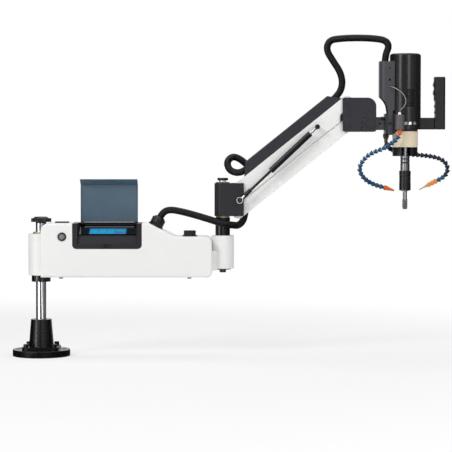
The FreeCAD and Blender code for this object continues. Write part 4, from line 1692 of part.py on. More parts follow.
# ---- hoses -------------------------------------------------------------------------------------
def build_hoses():
    """The hose from the casing to the head in its four stretches, and the thin solenoid lead."""
    add("lower_hose", hose("lower_hose", lower_hose_route(), HOSE_R))
    add("riser_hose", hose("riser_hose", riser_hose_route(), HOSE_R))
    start = Vec(*duct_point(DUCT_HOSE_START))
    end = Vec(*duct_point(LINK_LENGTH - DUCT_HOSE_END_IN))
    along = (end - start).normalize()
    add("duct_hose", rod(HOSE_R, start + along * GAP, (end - start).Length - 2 * GAP, along))
    add("upper_hose", hose("upper_hose", upper_hose_route(), HOSE_R))
    add("solenoid_lead", hose("solenoid_lead", head_run(LEAD_RUN), LEAD_R))


build_base()
build_knob()
build_collar()
build_arm_frame()
build_post()
build_casing()
build_electronics()
build_push_button()
build_panel()
build_lid()
build_glands()
build_bracket()
build_upper_link()
build_lower_link()
build_gas_spring()
build_end_bracket()
build_knuckle()
build_gearbox()
build_mount()
add("head_screws", *build_motor_cover(), *build_channel())
build_handle()
build_spindle()
build_coolant()
build_hoses()

os.makedirs("parts", exist_ok=True)
for name, shape in parts.items():
    shape.exportStep(f"parts/{name}.step")
print(f"{len(parts)} nodes")
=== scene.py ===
"""Dresses the arm tapping machine: finishes for its solids, hoses, chuck, panel, and the studio round it.

Lengths in this file are in millimetres, turned into metres by mm(), unless a name says otherwise.
"""

import logging
import math
from collections.abc import Callable
from dataclasses import dataclass
from enum import Enum

import bmesh
import bpy
from bpy.types import Curve, ID, Material, Mesh, Node, NodeSocket, NodeTree, Object
from mathutils import Matrix, Vector


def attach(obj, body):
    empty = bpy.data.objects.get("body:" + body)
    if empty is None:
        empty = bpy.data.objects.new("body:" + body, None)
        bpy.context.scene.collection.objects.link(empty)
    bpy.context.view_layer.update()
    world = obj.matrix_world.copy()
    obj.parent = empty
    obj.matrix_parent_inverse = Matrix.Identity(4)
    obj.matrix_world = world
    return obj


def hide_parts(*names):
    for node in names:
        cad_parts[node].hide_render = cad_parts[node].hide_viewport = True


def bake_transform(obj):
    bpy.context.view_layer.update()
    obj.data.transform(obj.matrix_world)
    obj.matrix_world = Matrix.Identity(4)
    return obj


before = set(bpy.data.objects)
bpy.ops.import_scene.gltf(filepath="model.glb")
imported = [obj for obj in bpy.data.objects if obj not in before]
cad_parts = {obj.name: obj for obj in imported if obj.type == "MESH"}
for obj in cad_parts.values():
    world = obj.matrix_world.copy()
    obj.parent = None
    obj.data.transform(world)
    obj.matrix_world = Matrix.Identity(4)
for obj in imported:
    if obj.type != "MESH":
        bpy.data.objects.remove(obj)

LOG = logging.getLogger("scene")
MM = 0.001

Point = tuple[float, float, float]
Profile = tuple[tuple[float, float], ...]
Colour = tuple[float, float, float, float]

# Places shared with the solids.
HEAD_X = 1108.97                # the spindle's axis
BUTTON = (69.0, -68.0, 366.0)   # middle of the power button's bezel
PANEL_TILT = 12.5               # degrees
GLASS_FRONT = (205.0, -52.0, 373.1)

# Meshes and curves.
SHARP_EDGE = math.radians(35)
GRID_PER_METRE = 20000          # corners on the same point of a 0.05 mm grid are one
CURVE_STEPS = 24
TURNED_SIDES = 40

# Sockets of a Mix node that mixes colours.
MIX_A = 6
MIX_B = 7
MIXED = 2

# Numbers of the finishes.
PATCH_DETAIL = 4.0
RELIEF_DETAIL = 3.0
EDGE_SAMPLES = 4
COAT_ROUGHNESS = 0.12
EDGE_GAIN = 12.0                # how fast wear grows as an edge turns
CHIP_SIZE = 7.0                 # the worn stretches of an edge
CHIP_DETAIL = 5.0
CHIP_GAIN = 4.0
CHIP_CUT = -1.4
ACRYLIC_IOR = 1.49
PIXEL_LOW = 0.86                # a display's dark pixels against its bright ones


def mm(*values: float) -> Vector:
    """Turns millimetres into a point in metres."""
    return Vector(values) * MM


def srgb(code: str) -> Colour:
    """Turns a hex colour into the linear colour that shaders take.

    Args:
        code: Six hex digits, red first.

    Returns:
        Linear red, green, blue and an alpha of one.
    """
    parts = [int(code[i:i + 2], 16) / 255 for i in (0, 2, 4)]
    linear = [c / 12.92 if c <= 0.04045 else ((c + 0.055) / 1.055) ** 2.4 for c in parts]
    return (linear[0], linear[1], linear[2], 1.0)


def add_node(tree: NodeTree, kind: str, inputs: dict[str | int, object] | None = None,
             **settings: object) -> Node:
    """Adds a shader node with its settings and links.

    Args:
        tree: The node tree that it joins.
        kind: The node's type without its ShaderNode prefix.
        inputs: By input name or number, the value it takes or the output socket that feeds it.
        settings: The node's own settings, such as its operation.

    Returns:
        The new node.
    """
    node = tree.nodes.new(f"ShaderNode{kind}")
    for name, value in settings.items():
        setattr(node, name, value)
    for key, value in (inputs or {}).items():
        if isinstance(value, NodeSocket):
            tree.links.new(value, node.inputs[key])
        else:
            node.inputs[key].default_value = value
    return node


def empty_material(name: str) -> Material:
    """Makes a material with no nodes.

    Args:
        name: The material's name.

    Returns:
        The material.
    """
    material = bpy.data.materials.new(name)
    material.use_nodes = True
    material.node_tree.nodes.clear()
    return material


# ---- finishes ----
class Grain(Enum):
    """How a surface's fine relief runs: its frequency along x, y and z."""

    EVEN = (1.0, 1.0, 1.0)
    ACROSS_Z = (0.02, 0.02, 1.0)
    ACROSS_X = (1.0, 0.02, 0.02)


@dataclass(frozen=True)
class Finish:
    """A solid surface: colour with slight variation, fine relief, eased and worn edges.

    Sizes are in millimetres and colours are hex codes. Ground and turned lines are really under 0.1 mm
    apart. They are drawn 0.3 mm apart or more, because finer ones would not show.
    """

    name: str
    colour: str
    shade: str
    roughness: float = 0.45
    spread: float = 0.08
    metallic: float = 0.0
    patch: float = 45.0
    grain: Grain = Grain.EVEN
    grain_size: float = 1.0
    grain_height: float = 0.01
    edge: float = 0.5
    wear: str = ""
    wear_amount: float = 0.0
    coat: float = 0.0
    specular: float = 0.5
    anisotropy: float = 0.0

    def make(self) -> Material:
        """Builds the material.

        Returns:
            The material with all its nodes.
        """
        material = empty_material(self.name)
        tree = material.node_tree
        place = add_node(tree, "TexCoord").outputs["Object"]
        patches = add_node(tree, "TexNoise", {
            "Vector": place, "Scale": 1 / (self.patch * MM), "Detail": PATCH_DETAIL,
        }).outputs["Fac"]
        stretch = Vector(self.grain.value) / (self.grain_size * MM)
        lines = add_node(tree, "Mapping", {"Vector": place, "Scale": stretch})
        relief = add_node(tree, "TexNoise", {
            "Vector": lines.outputs[0], "Scale": 1.0, "Detail": RELIEF_DETAIL,
        })
        eased = add_node(tree, "Bevel", {"Radius": self.edge * MM}, samples=EDGE_SAMPLES).outputs[0]
        bump = add_node(tree, "Bump", {
            "Strength": 1.0, "Distance": self.grain_height * MM,
            "Height": relief.outputs["Fac"], "Normal": eased,
        })
        rough = add_node(tree, "Math", {
            0: patches, 1: self.spread, 2: self.roughness - self.spread / 2,
        }, operation="MULTIPLY_ADD")
        colour = add_node(tree, "Mix", {
            0: patches, MIX_A: srgb(self.shade), MIX_B: srgb(self.colour),
        }, data_type="RGBA")
        if self.wear:
            mask = self._wear_mask(tree, place, eased)
            colour = add_node(tree, "Mix", {0: mask, MIX_A: colour.outputs[MIXED], MIX_B: srgb(self.wear)},
                              data_type="RGBA")
        shader = add_node(tree, "BsdfPrincipled", {
            "Base Color": colour.outputs[MIXED], "Roughness": rough.outputs[0], "Normal": bump.outputs[0],
            "Metallic": self.metallic, "Coat Weight": self.coat, "Coat Roughness": COAT_ROUGHNESS,
            "Specular IOR Level": self.specular, "Anisotropic": self.anisotropy,
        })
        add_node(tree, "OutputMaterial", {"Surface": shader.outputs[0]})
        self.complete(tree, shader, place)
        return material

    def complete(self, tree: NodeTree, shader: Node, place: NodeSocket) -> None:
        """Adds nothing more to a plain solid surface."""

    def _wear_mask(self, tree: NodeTree, place: NodeSocket, eased: NodeSocket) -> NodeSocket:
        """Finds the edges by comparing the eased normal with the true one.

        Args:
            tree: The material's nodes.
            place: The place on the object.
            eased: The bevel node's normal.

        Returns:
            A mask that is high along broken stretches of edges.
        """
        true = add_node(tree, "NewGeometry").outputs["True Normal"]
        same = add_node(tree, "VectorMath", {0: eased, 1: true}, operation="DOT_PRODUCT")
        turn = add_node(tree, "Math", {0: 1.0, 1: same.outputs["Value"]}, operation="SUBTRACT")
        edge = add_node(tree, "Math", {0: turn.outputs[0], 1: EDGE_GAIN * self.wear_amount},
                        operation="MULTIPLY", use_clamp=True)
        chips = add_node(tree, "TexNoise", {
            "Vector": place, "Scale": 1 / (CHIP_SIZE * MM), "Detail": CHIP_DETAIL,
        })
        broken = add_node(tree, "Math", {0: chips.outputs["Fac"], 1: CHIP_GAIN, 2: CHIP_CUT},
                          operation="MULTIPLY_ADD", use_clamp=True)
        return add_node(tree, "Math", {0: edge.outputs[0], 1: broken.outputs[0]},
                        operation="MULTIPLY").outputs[0]


@dataclass(frozen=True)
class SatinPaint(Finish):
    """Satin two-part paint sprayed on steel: even, nearly smooth, with paler rubbed edges."""

    roughness: float = 0.42
    spread: float = 0.12
    grain_size: float = 0.9
    grain_height: float = 0.012
    edge: float = 0.7
    wear_amount: float = 0.5
    specular: float = 0.25


@dataclass(frozen=True)
class BrightMetal(Finish):
    """Bare or plated metal, ground or turned in rings: sharp highlights drawn out along the piece."""

    roughness: float = 0.09
    spread: float = 0.03
    metallic: float = 1.0
    grain: Grain = Grain.ACROSS_Z
    grain_size: float = 0.3
    edge: float = 0.4


@dataclass(frozen=True)
class Bronze(Finish):
    """Porous or oiled bronze, turned in fine rings: half matt and a little uneven."""

    spread: float = 0.12
    metallic: float = 0.7
    grain: Grain = Grain.ACROSS_Z
    grain_size: float = 0.5
    grain_height: float = 0.004
    edge: float = 0.3


@dataclass(frozen=True)
class Acetal(Finish):
    """Moulded acetal, coloured through: waxy and softly shiny."""

    roughness: float = 0.36
    spread: float = 0.10
    grain_size: float = 0.8
    edge: float = 0.4
    specular: float = 0.4


@dataclass(frozen=True)
class Smoked(Finish):
    """Tinted acrylic, cast and polished: very smooth, and it lets part of the light through."""

    roughness: float = 0.18
    spread: float = 0.05
    grain_size: float = 25.0
    grain_height: float = 0.002
    edge: float = 0.4
    coat: float = 0.3
    density: float = 0.80

    def complete(self, tree: NodeTree, shader: Node, place: NodeSocket) -> None:
        """Lets light through the pane."""
        shader.inputs["Transmission Weight"].default_value = 1.0 - self.density
        shader.inputs["IOR"].default_value = ACRYLIC_IOR


@dataclass(frozen=True)
class Lit(Finish):
    """A lit area of the display behind its glass: flat saturated light on a faint grid of pixels."""

    roughness: float = 0.25
    spread: float = 0.05
    edge: float = 0.1
    glow: float = 0.5
    pixel: float = 0.9

    def complete(self, tree: NodeTree, shader: Node, place: NodeSocket) -> None:
        """Adds an even glow behind a fine grid.

        Args:
            tree: The material's nodes.
            shader: Its main shader.
            place: The place on the object.
        """
        grid = add_node(tree, "TexChecker", {"Vector": place, "Scale": 1 / (self.pixel * MM)})
        level = add_node(tree, "MapRange", {
            "Value": grid.outputs["Fac"], "To Min": self.glow * PIXEL_LOW, "To Max": self.glow,
        })
        shader.inputs["Emission Color"].default_value = srgb(self.colour)
        tree.links.new(level.outputs[0], shader.inputs["Emission Strength"])


class Paint(Enum):
    """Every finish of the machine, named for the real material, and the colours that are painted shade."""

    # Polyester powder coat baked on bent sheet steel: soft white, fine orange peel, dull rubbed edges.
    WHITE = Finish("white_powder_coat", "F4F4F3", "EFEFEE", 0.42, 0.10, grain_size=1.4, grain_height=0.02,
                   edge=0.9, wear="DDDDDA", wear_amount=0.3)
    # Painted shade: a flat dark grey with no gloss, drawn inside the casing's long walls, inside the motor
    # cover and its slots, and on the motor, where these recesses fall into shade.
    PRIMER = Finish("dark_sheet_primer", "232326", "1C1C1F", 0.70, 0.10, grain_size=1.6, grain_height=0.02,
                    edge=0.4, specular=0.15)
    # Satin paint on milled plates: near-black grey.
    CHARCOAL = SatinPaint("charcoal_satin_paint", "323137", "2B2A30", 0.44, edge=0.6, wear="4A4A4F")
    # The same paint on the swivel bracket, a shade darker.
    GRAPHITE = SatinPaint("graphite_satin_paint", "2B2A2F", "252429", 0.40, wear="3E3E43")
    # The same paint on the knuckle and the sheet channel, a mid grey.
    SLATE = SatinPaint("slate_satin_paint", "47474C", "3E3E44", edge=0.8, wear="67676B", specular=0.3)
    # Dark satin paint on a drawn tube: deep, smooth, with long soft highlights.
    MOTOR = SatinPaint("dark_satin_tube_paint", "1E1E21", "18181B", 0.28, 0.06, grain_size=0.8,
                       grain_height=0.006, edge=0.8, wear="404044", wear_amount=0.4, coat=0.08,
                       specular=0.35)
    # Black enamel brushed over cast iron: deep black, slightly uneven, glossy on the high spots.
    CAST = Finish("black_enamel_on_iron", "09090B", "060608", 0.28, 0.12, grain_size=2.2, grain_height=0.05,
                  edge=1.0, wear="2C2C2E", wear_amount=0.6, coat=0.06, specular=0.3)
    # Black oxide on turned steel: blue-black, oily sheen, fine turning marks and bright rubbed edges.
    OXIDE = Finish("black_oxide_steel", "151417", "0F0F11", 0.20, grain=Grain.ACROSS_Z, grain_size=0.35,
                   grain_height=0.004, wear="66666A", wear_amount=0.5, specular=0.45)
    # Piano-black lacquer on drawn tube: mirror highlights on black.
    LACQUER = Finish("black_lacquered_tube", "09090B", "070709", 0.20, 0.05, grain_size=6.0,
                     grain_height=0.002, specular=0.4)
    # Hard chrome plated on ground rod: a clean mirror drawn out along the rod.
    CHROME = BrightMetal("hard_chrome", "DCDDE0", "D2D3D7", grain_height=0.0005, edge=0.3)
    # Ground tool steel of the spindle: darker than chrome.
    GROUND = BrightMetal("ground_tool_steel", "A4A5A8", "96979B", grain_height=0.0008)
    # Turned alloy steel left bare: greyer, with visible tool marks.
    STEEL = BrightMetal("turned_steel", "A3A3A6", "8F8F93", 0.14, 0.06, grain_size=0.4, grain_height=0.002,
                        edge=0.35, wear="C9C9CB", wear_amount=0.4, anisotropy=0.3)
    # Nickel plate on small screws and caps: warm, bright and slightly soft.
    NICKEL = BrightMetal("nickel_plate", "E6E5E2", "D8D7D3", 0.20, 0.08, grain=Grain.EVEN, grain_size=0.8,
                         grain_height=0.002, edge=0.3)
    # Drawn brass tube of the fine tip.
    BRASS = BrightMetal("drawn_brass", "C99B52", "B58742", 0.26, 0.08, grain=Grain.EVEN, grain_size=0.4,
                        grain_height=0.002, edge=0.2)
    # Stainless caps of the thumb buttons, with a fine turned face.
    STAINLESS = BrightMetal("turned_stainless_cap", "B9BABD", "A5A6AA", 0.30, 0.10, grain=Grain.ACROSS_X,
                            grain_size=0.4, grain_height=0.003)
    # Cream lacquer on a bead-blasted casting: warm, matt, finely pitted.
    CREAM = Finish("cream_lacquered_casting", "F0E1C7", "E5D5B8", 0.42, 0.12, grain_size=0.7,
                   grain_height=0.015, edge=0.8, coat=0.1, specular=0.4)
    # Sintered bronze of bushes and washers: tan and porous.
    BRONZE = Bronze("sintered_bronze", "C8B08C", "AC9268", 0.38, 0.14)
    # Cream-coloured bearing bronze of the column's bushes: pale and dry.
    CREAM_BUSH = Bronze("pale_bearing_bronze", "B5A68C", "A39377", 0.42, metallic=0.5)
    # Oil-darkened bronze under the post's cap and in the rear fitting.
    DARK_BRONZE = Bronze("dark_oiled_bronze", "6B5844", "574736", 0.36)
    # Glass-filled nylon, moulded with a fine spark texture: black with a soft sheen.
    NYLON = Finish("black_moulded_nylon", "131315", "0E0E10", 0.40, 0.12, grain_size=0.55,
                   grain_height=0.02, edge=0.8, wear="29292C", wear_amount=0.4, specular=0.35)
    # ABS moulding round the panel: charcoal, evenly matt.
    PANEL = Finish("charcoal_moulded_abs", "2C292D", "262428", 0.46, 0.10, grain_size=0.5,
                   grain_height=0.02, edge=0.8, specular=0.18)
    # Toughened glass with black print behind: a deep even black with a hard gloss.
    GLASS = Finish("black_backed_glass", "060608", "040406", 0.10, 0.03, grain_size=30.0,
                   grain_height=0.001, edge=0.3, specular=0.06)
    # The lid's pane: blue-grey, slightly see-through.
    SMOKED = Smoked("smoked_acrylic", "62788A", "596E7F")
    # Its heat-bent lip, which catches more of the room.
    SMOKED_LIP = Smoked("smoked_acrylic_lip", "5F7586", "566B7B", 0.16, coat=0.4, density=0.85)
    # Its sawn and polished edges, where the tint is deepest. The pane's foot by the hinge is drawn in this
    # darker tint too.
    SMOKED_EDGE = Smoked("smoked_acrylic_edge", "2B363D", "252F35", density=0.92)
    # The back-lit display, its header, fields and keys.
    SCREEN = Lit("display_ground", "04719F", "046A95", glow=0.55)
    SCREEN_BAR = Lit("display_header", "035A8C", "035382")
    SCREEN_FIELD = Lit("display_field", "1693C4", "148AB8")
    SCREEN_STOP = Lit("display_stop_key", "4F58A6", "48519A")
    SCREEN_RUN = Lit("display_run_key", "16989C", "148C90")
    # Nitrile rubber moulded in ribs: dull black, dusty on the crests.
    HOSE = Finish("black_nitrile_rubber", "0B0B0C", "060607", 0.40, 0.16, grain_size=0.8, grain_height=0.03,
                  edge=0.2, specular=0.22)
    # PVC jacket of the thin lead: pale grey and slightly glossy.
    LEAD = Finish("grey_pvc_jacket", "8B8B8E", "7F7F83", 0.32, 0.10, grain_size=2.0, grain_height=0.004,
                  edge=0.1, coat=0.2)
    # The coolant hoses' links: teal acetal, and a darker navy copy of it that is painted shade on the rear
    # hose behind the head.
    TEAL = Acetal("teal_blue_acetal", "0F547C", "0B4566", 0.34, edge=0.5)
    NAVY = Acetal("navy_blue_acetal", "17253F", "121E34", 0.34, edge=0.5)
    # Their fittings and nozzles, and the rear nozzle's lighter body and uncoloured cone.
    ORANGE = Acetal("orange_acetal", "E5702A", "D7611F")
    AMBER = Acetal("light_orange_acetal", "EF9445", "E48738")
    BEIGE = Acetal("beige_acetal", "C9AF86", "BBA077")
    # Solid rubber of the stop pads: matt black. The same matt black is painted shade on the casing's rim
    # behind the lid.
    RUBBER = Finish("black_rubber_pad", "0E0E0E", "090909", 0.60, 0.14, grain_size=0.9, grain_height=0.03,
                    edge=0.8, specular=0.2)
    # Glass-filled polyamide of the solenoid's coil: warm mid-grey, faintly mottled.
    COIL = Finish("grey_moulded_polyamide", "615C5D", "565152", 0.42, 0.12, patch=12.0, grain_size=0.6,
                  grain_height=0.02, edge=0.6, specular=0.35)
    # Anodised casing of the electronics: dull grey.
    MODULE = Finish("grey_anodised_casing", "6E7174", "62656A", 0.50, 0.10, 0.4)
    # Dark anodised face of the power button, brushed along one way, and its pale etched mark.
    BUTTON = Finish("dark_anodised_cap", "6E7075", "626469", 0.30, 0.10, 0.6, grain=Grain.ACROSS_X,
                    grain_size=0.4, grain_height=0.003, edge=0.4)
    MARK = Finish("pale_etched_mark", "DADDE0", "CED2D6", 0.40, grain_size=0.6, grain_height=0.004,
                  edge=0.1)


@dataclass(frozen=True)
class Spot:
    """Where a face lies: its middle and direction, and the corners of the solid that it is part of."""

    middle: Vector
    normal: Vector
    low: Vector
    high: Vector


class Palette:
    """Makes each finish's material once and puts it on the frame's solids."""

    def __init__(self) -> None:
        """Starts with no materials."""
        self._made: dict[Paint, Material] = {}

    def get(self, paint: Paint) -> Material:
        """Gives a finish's material.

        Args:
            paint: The finish.

        Returns:
            Its material, made at the first call.
        """
        if paint not in self._made:
            self._made[paint] = paint.value.make()
        return self._made[paint]

    def dress(self, paint: Paint, *nodes: str) -> None:
        """Gives whole solids one finish.

        Args:
            paint: The finish.
            nodes: The solids' names in the frame.
        """
        for node in nodes:
            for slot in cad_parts[node].material_slots:
                slot.material = self.get(paint)
            LOG.info("%s: %s", node, paint.value.name)

    def dress_faces(self, node: str, rule: Callable[[Spot], Paint]) -> None:
        """Gives the faces of one node their own finishes.

        Args:
            node: The node's name in the frame.
            rule: Picks the finish from a face's spot, in millimetres.
        """
        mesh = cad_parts[node].data
        paints: list[Paint] = []
        mesh.materials.clear()
        for faces, low, high in islands(mesh):
            for index in faces:
                face = mesh.polygons[index]
                paint = rule(Spot(face.center / MM, face.normal, low, high))
                if paint not in paints:
                    paints.append(paint)
                    mesh.materials.append(self.get(paint))
                face.material_index = paints.index(paint)
        LOG.info("%s: %s", node, ", ".join(paint.value.name for paint in paints))


@dataclass
class SubAssembly:
    """A part of the machine: its finishes, and the pieces built where a plain solid isn't enough."""

    palette: Palette

    def build(self) -> None:
        """Dresses and builds the sub-assembly."""
        raise NotImplementedError


def islands(mesh: Mesh) -> list[tuple[list[int], Vector, Vector]]:
    """Splits a mesh into its separate solids.

    Args:
        mesh: The mesh, with coinciding corners counted as joined.

    Returns:
        For each solid its face numbers and its lowest and highest corner in millimetres.
    """
    keys = [tuple(round(c * GRID_PER_METRE) for c in v.co) for v in mesh.vertices]
    root: dict[tuple[int, ...], tuple[int, ...]] = {k: k for k in keys}

    def find(key: tuple[int, ...]) -> tuple[int, ...]:
        """Finds the corner that stands for a solid.

        Args:
            key: Any corner of the solid.

        Returns:
            The corner that all the solid's corners lead to.
        """
        while root[key] != key:
            root[key] = root[root[key]]
            key = root[key]
        return key

    for polygon in mesh.polygons:
        first = find(keys[polygon.vertices[0]])
        for index in polygon.vertices[1:]:
            root[find(keys[index])] = first
    groups: dict[tuple[int, ...], list[int]] = {}
    for polygon in mesh.polygons:
        groups.setdefault(find(keys[polygon.vertices[0]]), []).append(polygon.index)
    result = []
    for faces in groups.values():
        corners = [mesh.vertices[v].co for f in faces for v in mesh.polygons[f].vertices]
        low, high = (Vector(pick(c[i] for c in corners) for i in range(3)) / MM for pick in (min, max))
        result.append((faces, low, high))
    return result


# ---- mesh helpers ----
def make_object(name: str, data: ID, material: Material | None = None) -> Object:
    """Puts a mesh, curve, light or camera in the scene.

    Args:
        name: The object's name.
        data: What it shows.
        material: Its material, if it takes one.

    Returns:
        The new object.
    """
    if material:
        data.materials.append(material)
    made = bpy.data.objects.new(name, data)
    bpy.context.collection.objects.link(made)
    return made


def ring_round(middle: Vector, side: Vector, other: Vector, reach: float, count: int) -> list[Vector]:
    """Places the corners of a round ring, the first to its side and the next ones towards the other."""
    angles = [2 * math.pi * k / count for k in range(count)]
    return [middle + (side * math.cos(a) + other * math.sin(a)) * reach for a in angles]


def loft(name: str, rings: list[list[Vector]]) -> Mesh:
    """Skins rings that have the same number of corners, and closes the first and the last.

    Args:
        name: The mesh's name.
        rings: The rings in order.

    Returns:
        A mesh that is smooth but for its sharp edges.
    """
    mesh = bpy.data.meshes.new(name)
    count = len(rings[0])
    faces = [
        (i * count + j, i * count + (j + 1) % count, (i + 1) * count + (j + 1) % count, (i + 1) * count + j)
        for i in range(len(rings) - 1)
        for j in range(count)
    ]
    faces.append(tuple(reversed(range(count))))
    faces.append(tuple((len(rings) - 1) * count + j for j in range(count)))
    mesh.from_pydata([v for ring in rings for v in ring], [], faces)
    work = bmesh.new()
    work.from_mesh(mesh)
    bmesh.ops.recalc_face_normals(work, faces=work.faces)
    work.to_mesh(mesh)
    work.free()
    for polygon in mesh.polygons:
        polygon.use_smooth = True
    mesh.set_sharp_from_angle(angle=SHARP_EDGE)
    return mesh


def lathe(name: str, profile: Profile, foot: Vector, heading: Vector) -> Mesh:
    """Turns a profile round a line.

    Args:
        name: The mesh's name.
        profile: Height along the line and radius there, in millimetres, from end to end.
        foot: Where the height is 0, in millimetres.
        heading: The line's direction.

    Returns:
        The turned mesh, closed at both ends.
    """
    ahead = heading.normalized()
    side = ahead.orthogonal().normalized()
    rings = []
    for height, radius in profile:
        corners = ring_round(foot + ahead * height, side, ahead.cross(side), radius, TURNED_SIDES)
        rings.append([corner * MM for corner in corners])
    return loft(name, rings)


# ---- hoses ----
def smooth_curve(name: str, route: tuple[Point, ...]) -> Curve:
    """Runs a smooth curve by a route's points.

    Args:
        name: The curve's name.
        route: The points in millimetres.

    Returns:
        The curve, with no thickness.
    """
    curve = bpy.data.curves.new(name, "CURVE")
    curve.dimensions = "3D"
    curve.resolution_u = CURVE_STEPS
    spline = curve.splines.new("NURBS")
    spline.points.add(len(route) - 1)
    for point, place in zip(spline.points, route):
        point.co = (*mm(*place), 1.0)
    spline.order_u = 3
    spline.use_endpoint_u = True
    return curve


def smooth_line(name: str, route: tuple[Point, ...]) -> list[Vector]:
    """Reads close points from the smooth curve of a route.

    Args:
        name: The curve's name while it exists.
        route: The points in millimetres.

    Returns:
        Points along the curve, in metres.
    """
    curve = smooth_curve(name, route)
    holder = bpy.data.objects.new(name, curve)
    mesh = bpy.data.meshes.new_from_object(holder)
    line = [v.co.copy() for v in mesh.vertices]
    bpy.data.objects.remove(holder)
    bpy.data.curves.remove(curve)
    bpy.data.meshes.remove(mesh)
    return line


def line_length(line: list[Vector]) -> float:
    """Adds up a line's steps, in metres."""
    return sum((b - a).length for a, b in zip(line, line[1:]))


def resampled(line: list[Vector], step: float) -> list[Vector]:
    """Places points at an even step along a line.

    Args:
        line: The line's points.
        step: The wanted step in metres.

    Returns:
        Points from the line's first to its last point.
    """
    total = line_length(line)
    count = max(2, round(total / step))
    targets = [total * i / count for i in range(count + 1)]
    found = [line[0]]
    walked = 0.0
    index = 1
    for a, b in zip(line, line[1:]):
        length = (b - a).length
        while index < count and walked + length >= targets[index]:
            found.append(a.lerp(b, (targets[index] - walked) / length))
            index += 1
        walked += length
    found.append(line[-1])
    return found


@dataclass
class CorrugatedHose:
    """A hose with ring-shaped corrugations along a smooth line.

    The line is close points of its middle, in metres. The phase is how far along the whole hose it
    starts, in metres, so that the corrugations of two stretches meet.
    """

    name: str
    line: list[Vector]
    phase: float = 0.0
    radius: float = 10.8
    pitch: float = 3.9
    depth: float = 0.8
    sides: int = 28
    steps_per_ring: int = 6

    def mesh(self) -> Mesh:
        """Builds the hose's skin.

        Returns:
            The mesh, closed at both ends.
        """
        points = resampled(self.line, self.pitch * MM / self.steps_per_ring)
        rings = []
        walked = self.phase
        side = (points[1] - points[0]).orthogonal().normalized()
        for i, here in enumerate(points):
            ahead = (points[min(i + 1, len(points) - 1)] - points[max(i - 1, 0)]).normalized()
            side = (side - ahead * side.dot(ahead)).normalized()
            if i:
                walked += (here - points[i - 1]).length
            wave = 0.5 - 0.5 * math.cos(2 * math.pi * walked / (self.pitch * MM))
            reach = (self.radius - self.depth * (1 - wave) ** 2) * MM
            rings.append(ring_round(here, side, ahead.cross(side), reach, self.sides))
        return loft(self.name, rings)


@dataclass
class Hoses(SubAssembly):
    """The hose from the casing to the head, in its stretches, and the thin lead on the head."""

    lower: tuple[Point, ...] = (
        (360.79, -18, 417.77), (370.5, -18, 436.95), (392, -18.5, 447.5), (432, -22, 440.5),
        (488, -33, 425.5), (534, -39.5, 411), (568, -42, 402), (590, -20, 399),
        (601, 12, 397), (617, 44, 409), (624.5, 49, 440), (624.5, 48, 463),
    )
    lower_start: Point = (432, -22, 440.5)
    riser: tuple[Point, ...] = (
        (624.5, 48, 463), (624.5, 48, 495), (636, 51, 533), (645, 49, 563), (615, 42, 596),
        (585, 33, 610), (566, 22, 592), (573, 10, 567), (596, 3, 557), (618.77, 0, 562.54),
        (644.5, 0, 583.2),
    )
    upper: tuple[Point, ...] = (
        (878.4, 0, 771), (903.9, 0, 791.47), (919, 0, 824), (913, 0, 862), (889, 0, 898),
        (868, 0, 932), (878, 0, 961), (912, 0, 966), (960, 0, 968), (1010, 0, 966.5),
        (1048, 0, 961), (1060, 0, 943), (1047, 0, 913), (1047, 0, 881),
    )
    upper_bodies: tuple[str, ...] = ("upper_link", "end_bracket", "tilt_knuckle", "head")
    upper_cuts: tuple[float, float] = (0.281, 0.562)
    upper_step: float = 0.8
    lead: tuple[Point, ...] = (
        (1059.3, -31, 820), (1059.8, -40, 819.6), (1080, -52, 812), (1100, -60, 795),
        (1107, -63, 772), (1098, -63, 755), (1088, -60, 748), (1087, -59, 741.3),
    )
    lead_radius: float = 1.5
    lead_roundness: int = 6

    def build(self) -> None:
        """Builds every stretch."""
        lower = CorrugatedHose("lower_hose_run", smooth_line("lower_hose_run", self.lower))
        self._bending(lower, "lower_hose", ("first_arm", "swivel_bracket"), mm(*self.lower_start))
        riser = CorrugatedHose("riser_hose_run", smooth_line("riser_hose_run", self.riser))
        self._bending(riser, "riser_hose", ("swivel_bracket", "upper_link"), riser.line[0])
        self._upper()
        self.palette.dress(Paint.HOSE, "duct_hose")
        self._lead()

    def _bending(self, hose: CorrugatedHose, node: str, bodies: tuple[str, ...], start: Vector) -> None:
        """Builds one stretch of hose between two bodies.

        Args:
            hose: The stretch.
            node: The solid that it stands for.
            bodies: The bodies at its first and last end; not used.
            start: Where it starts to bend; not used.
        """
        piece = make_object(hose.name, hose.mesh(), self.palette.get(Paint.HOSE))
        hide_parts(node)
        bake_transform(piece)

    def _upper(self) -> None:
        """Builds the looped stretch above the head in three pieces, one for each joint it crosses."""
        line = resampled(smooth_line("upper_hose_run", self.upper), self.upper_step * MM)
        last = len(line) - 1
        cuts = (0, *(round(last * share) for share in self.upper_cuts), last)
        walked = 0.0
        for i in range(3):
            hose = CorrugatedHose(f"upper_hose_run_{i + 1}", line[cuts[i]:cuts[i + 1] + 1], walked)
            self._bending(hose, "upper_hose", self.upper_bodies[i:i + 2], hose.line[0])
            walked += line_length(hose.line)

    def _lead(self) -> None:
        """Builds the thin lead from the channel to the valve."""
        curve = smooth_curve("valve_lead", self.lead)
        curve.bevel_depth = self.lead_radius * MM
        curve.bevel_resolution = self.lead_roundness
        curve.use_fill_caps = True
        piece = make_object("valve_lead", curve, self.palette.get(Paint.LEAD))
        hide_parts("solenoid_lead")
        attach(piece, "head")
        length = line_length(smooth_line("valve_lead_line", self.lead))
        LOG.info("valve_lead: %.3f m", length)


# ---- base and first arm ----
@dataclass
class Base(SubAssembly):
    """The cast foot with its bolts, and the chromed column that rises from it."""

    def build(self) -> None:
        """Dresses the foot and the column."""
        self.palette.dress(Paint.CAST, "base_disc", "column_socket")
        self.palette.dress(Paint.OXIDE, "socket_bolts", "height_collar")
        self.palette.dress(Paint.CHROME, "column")


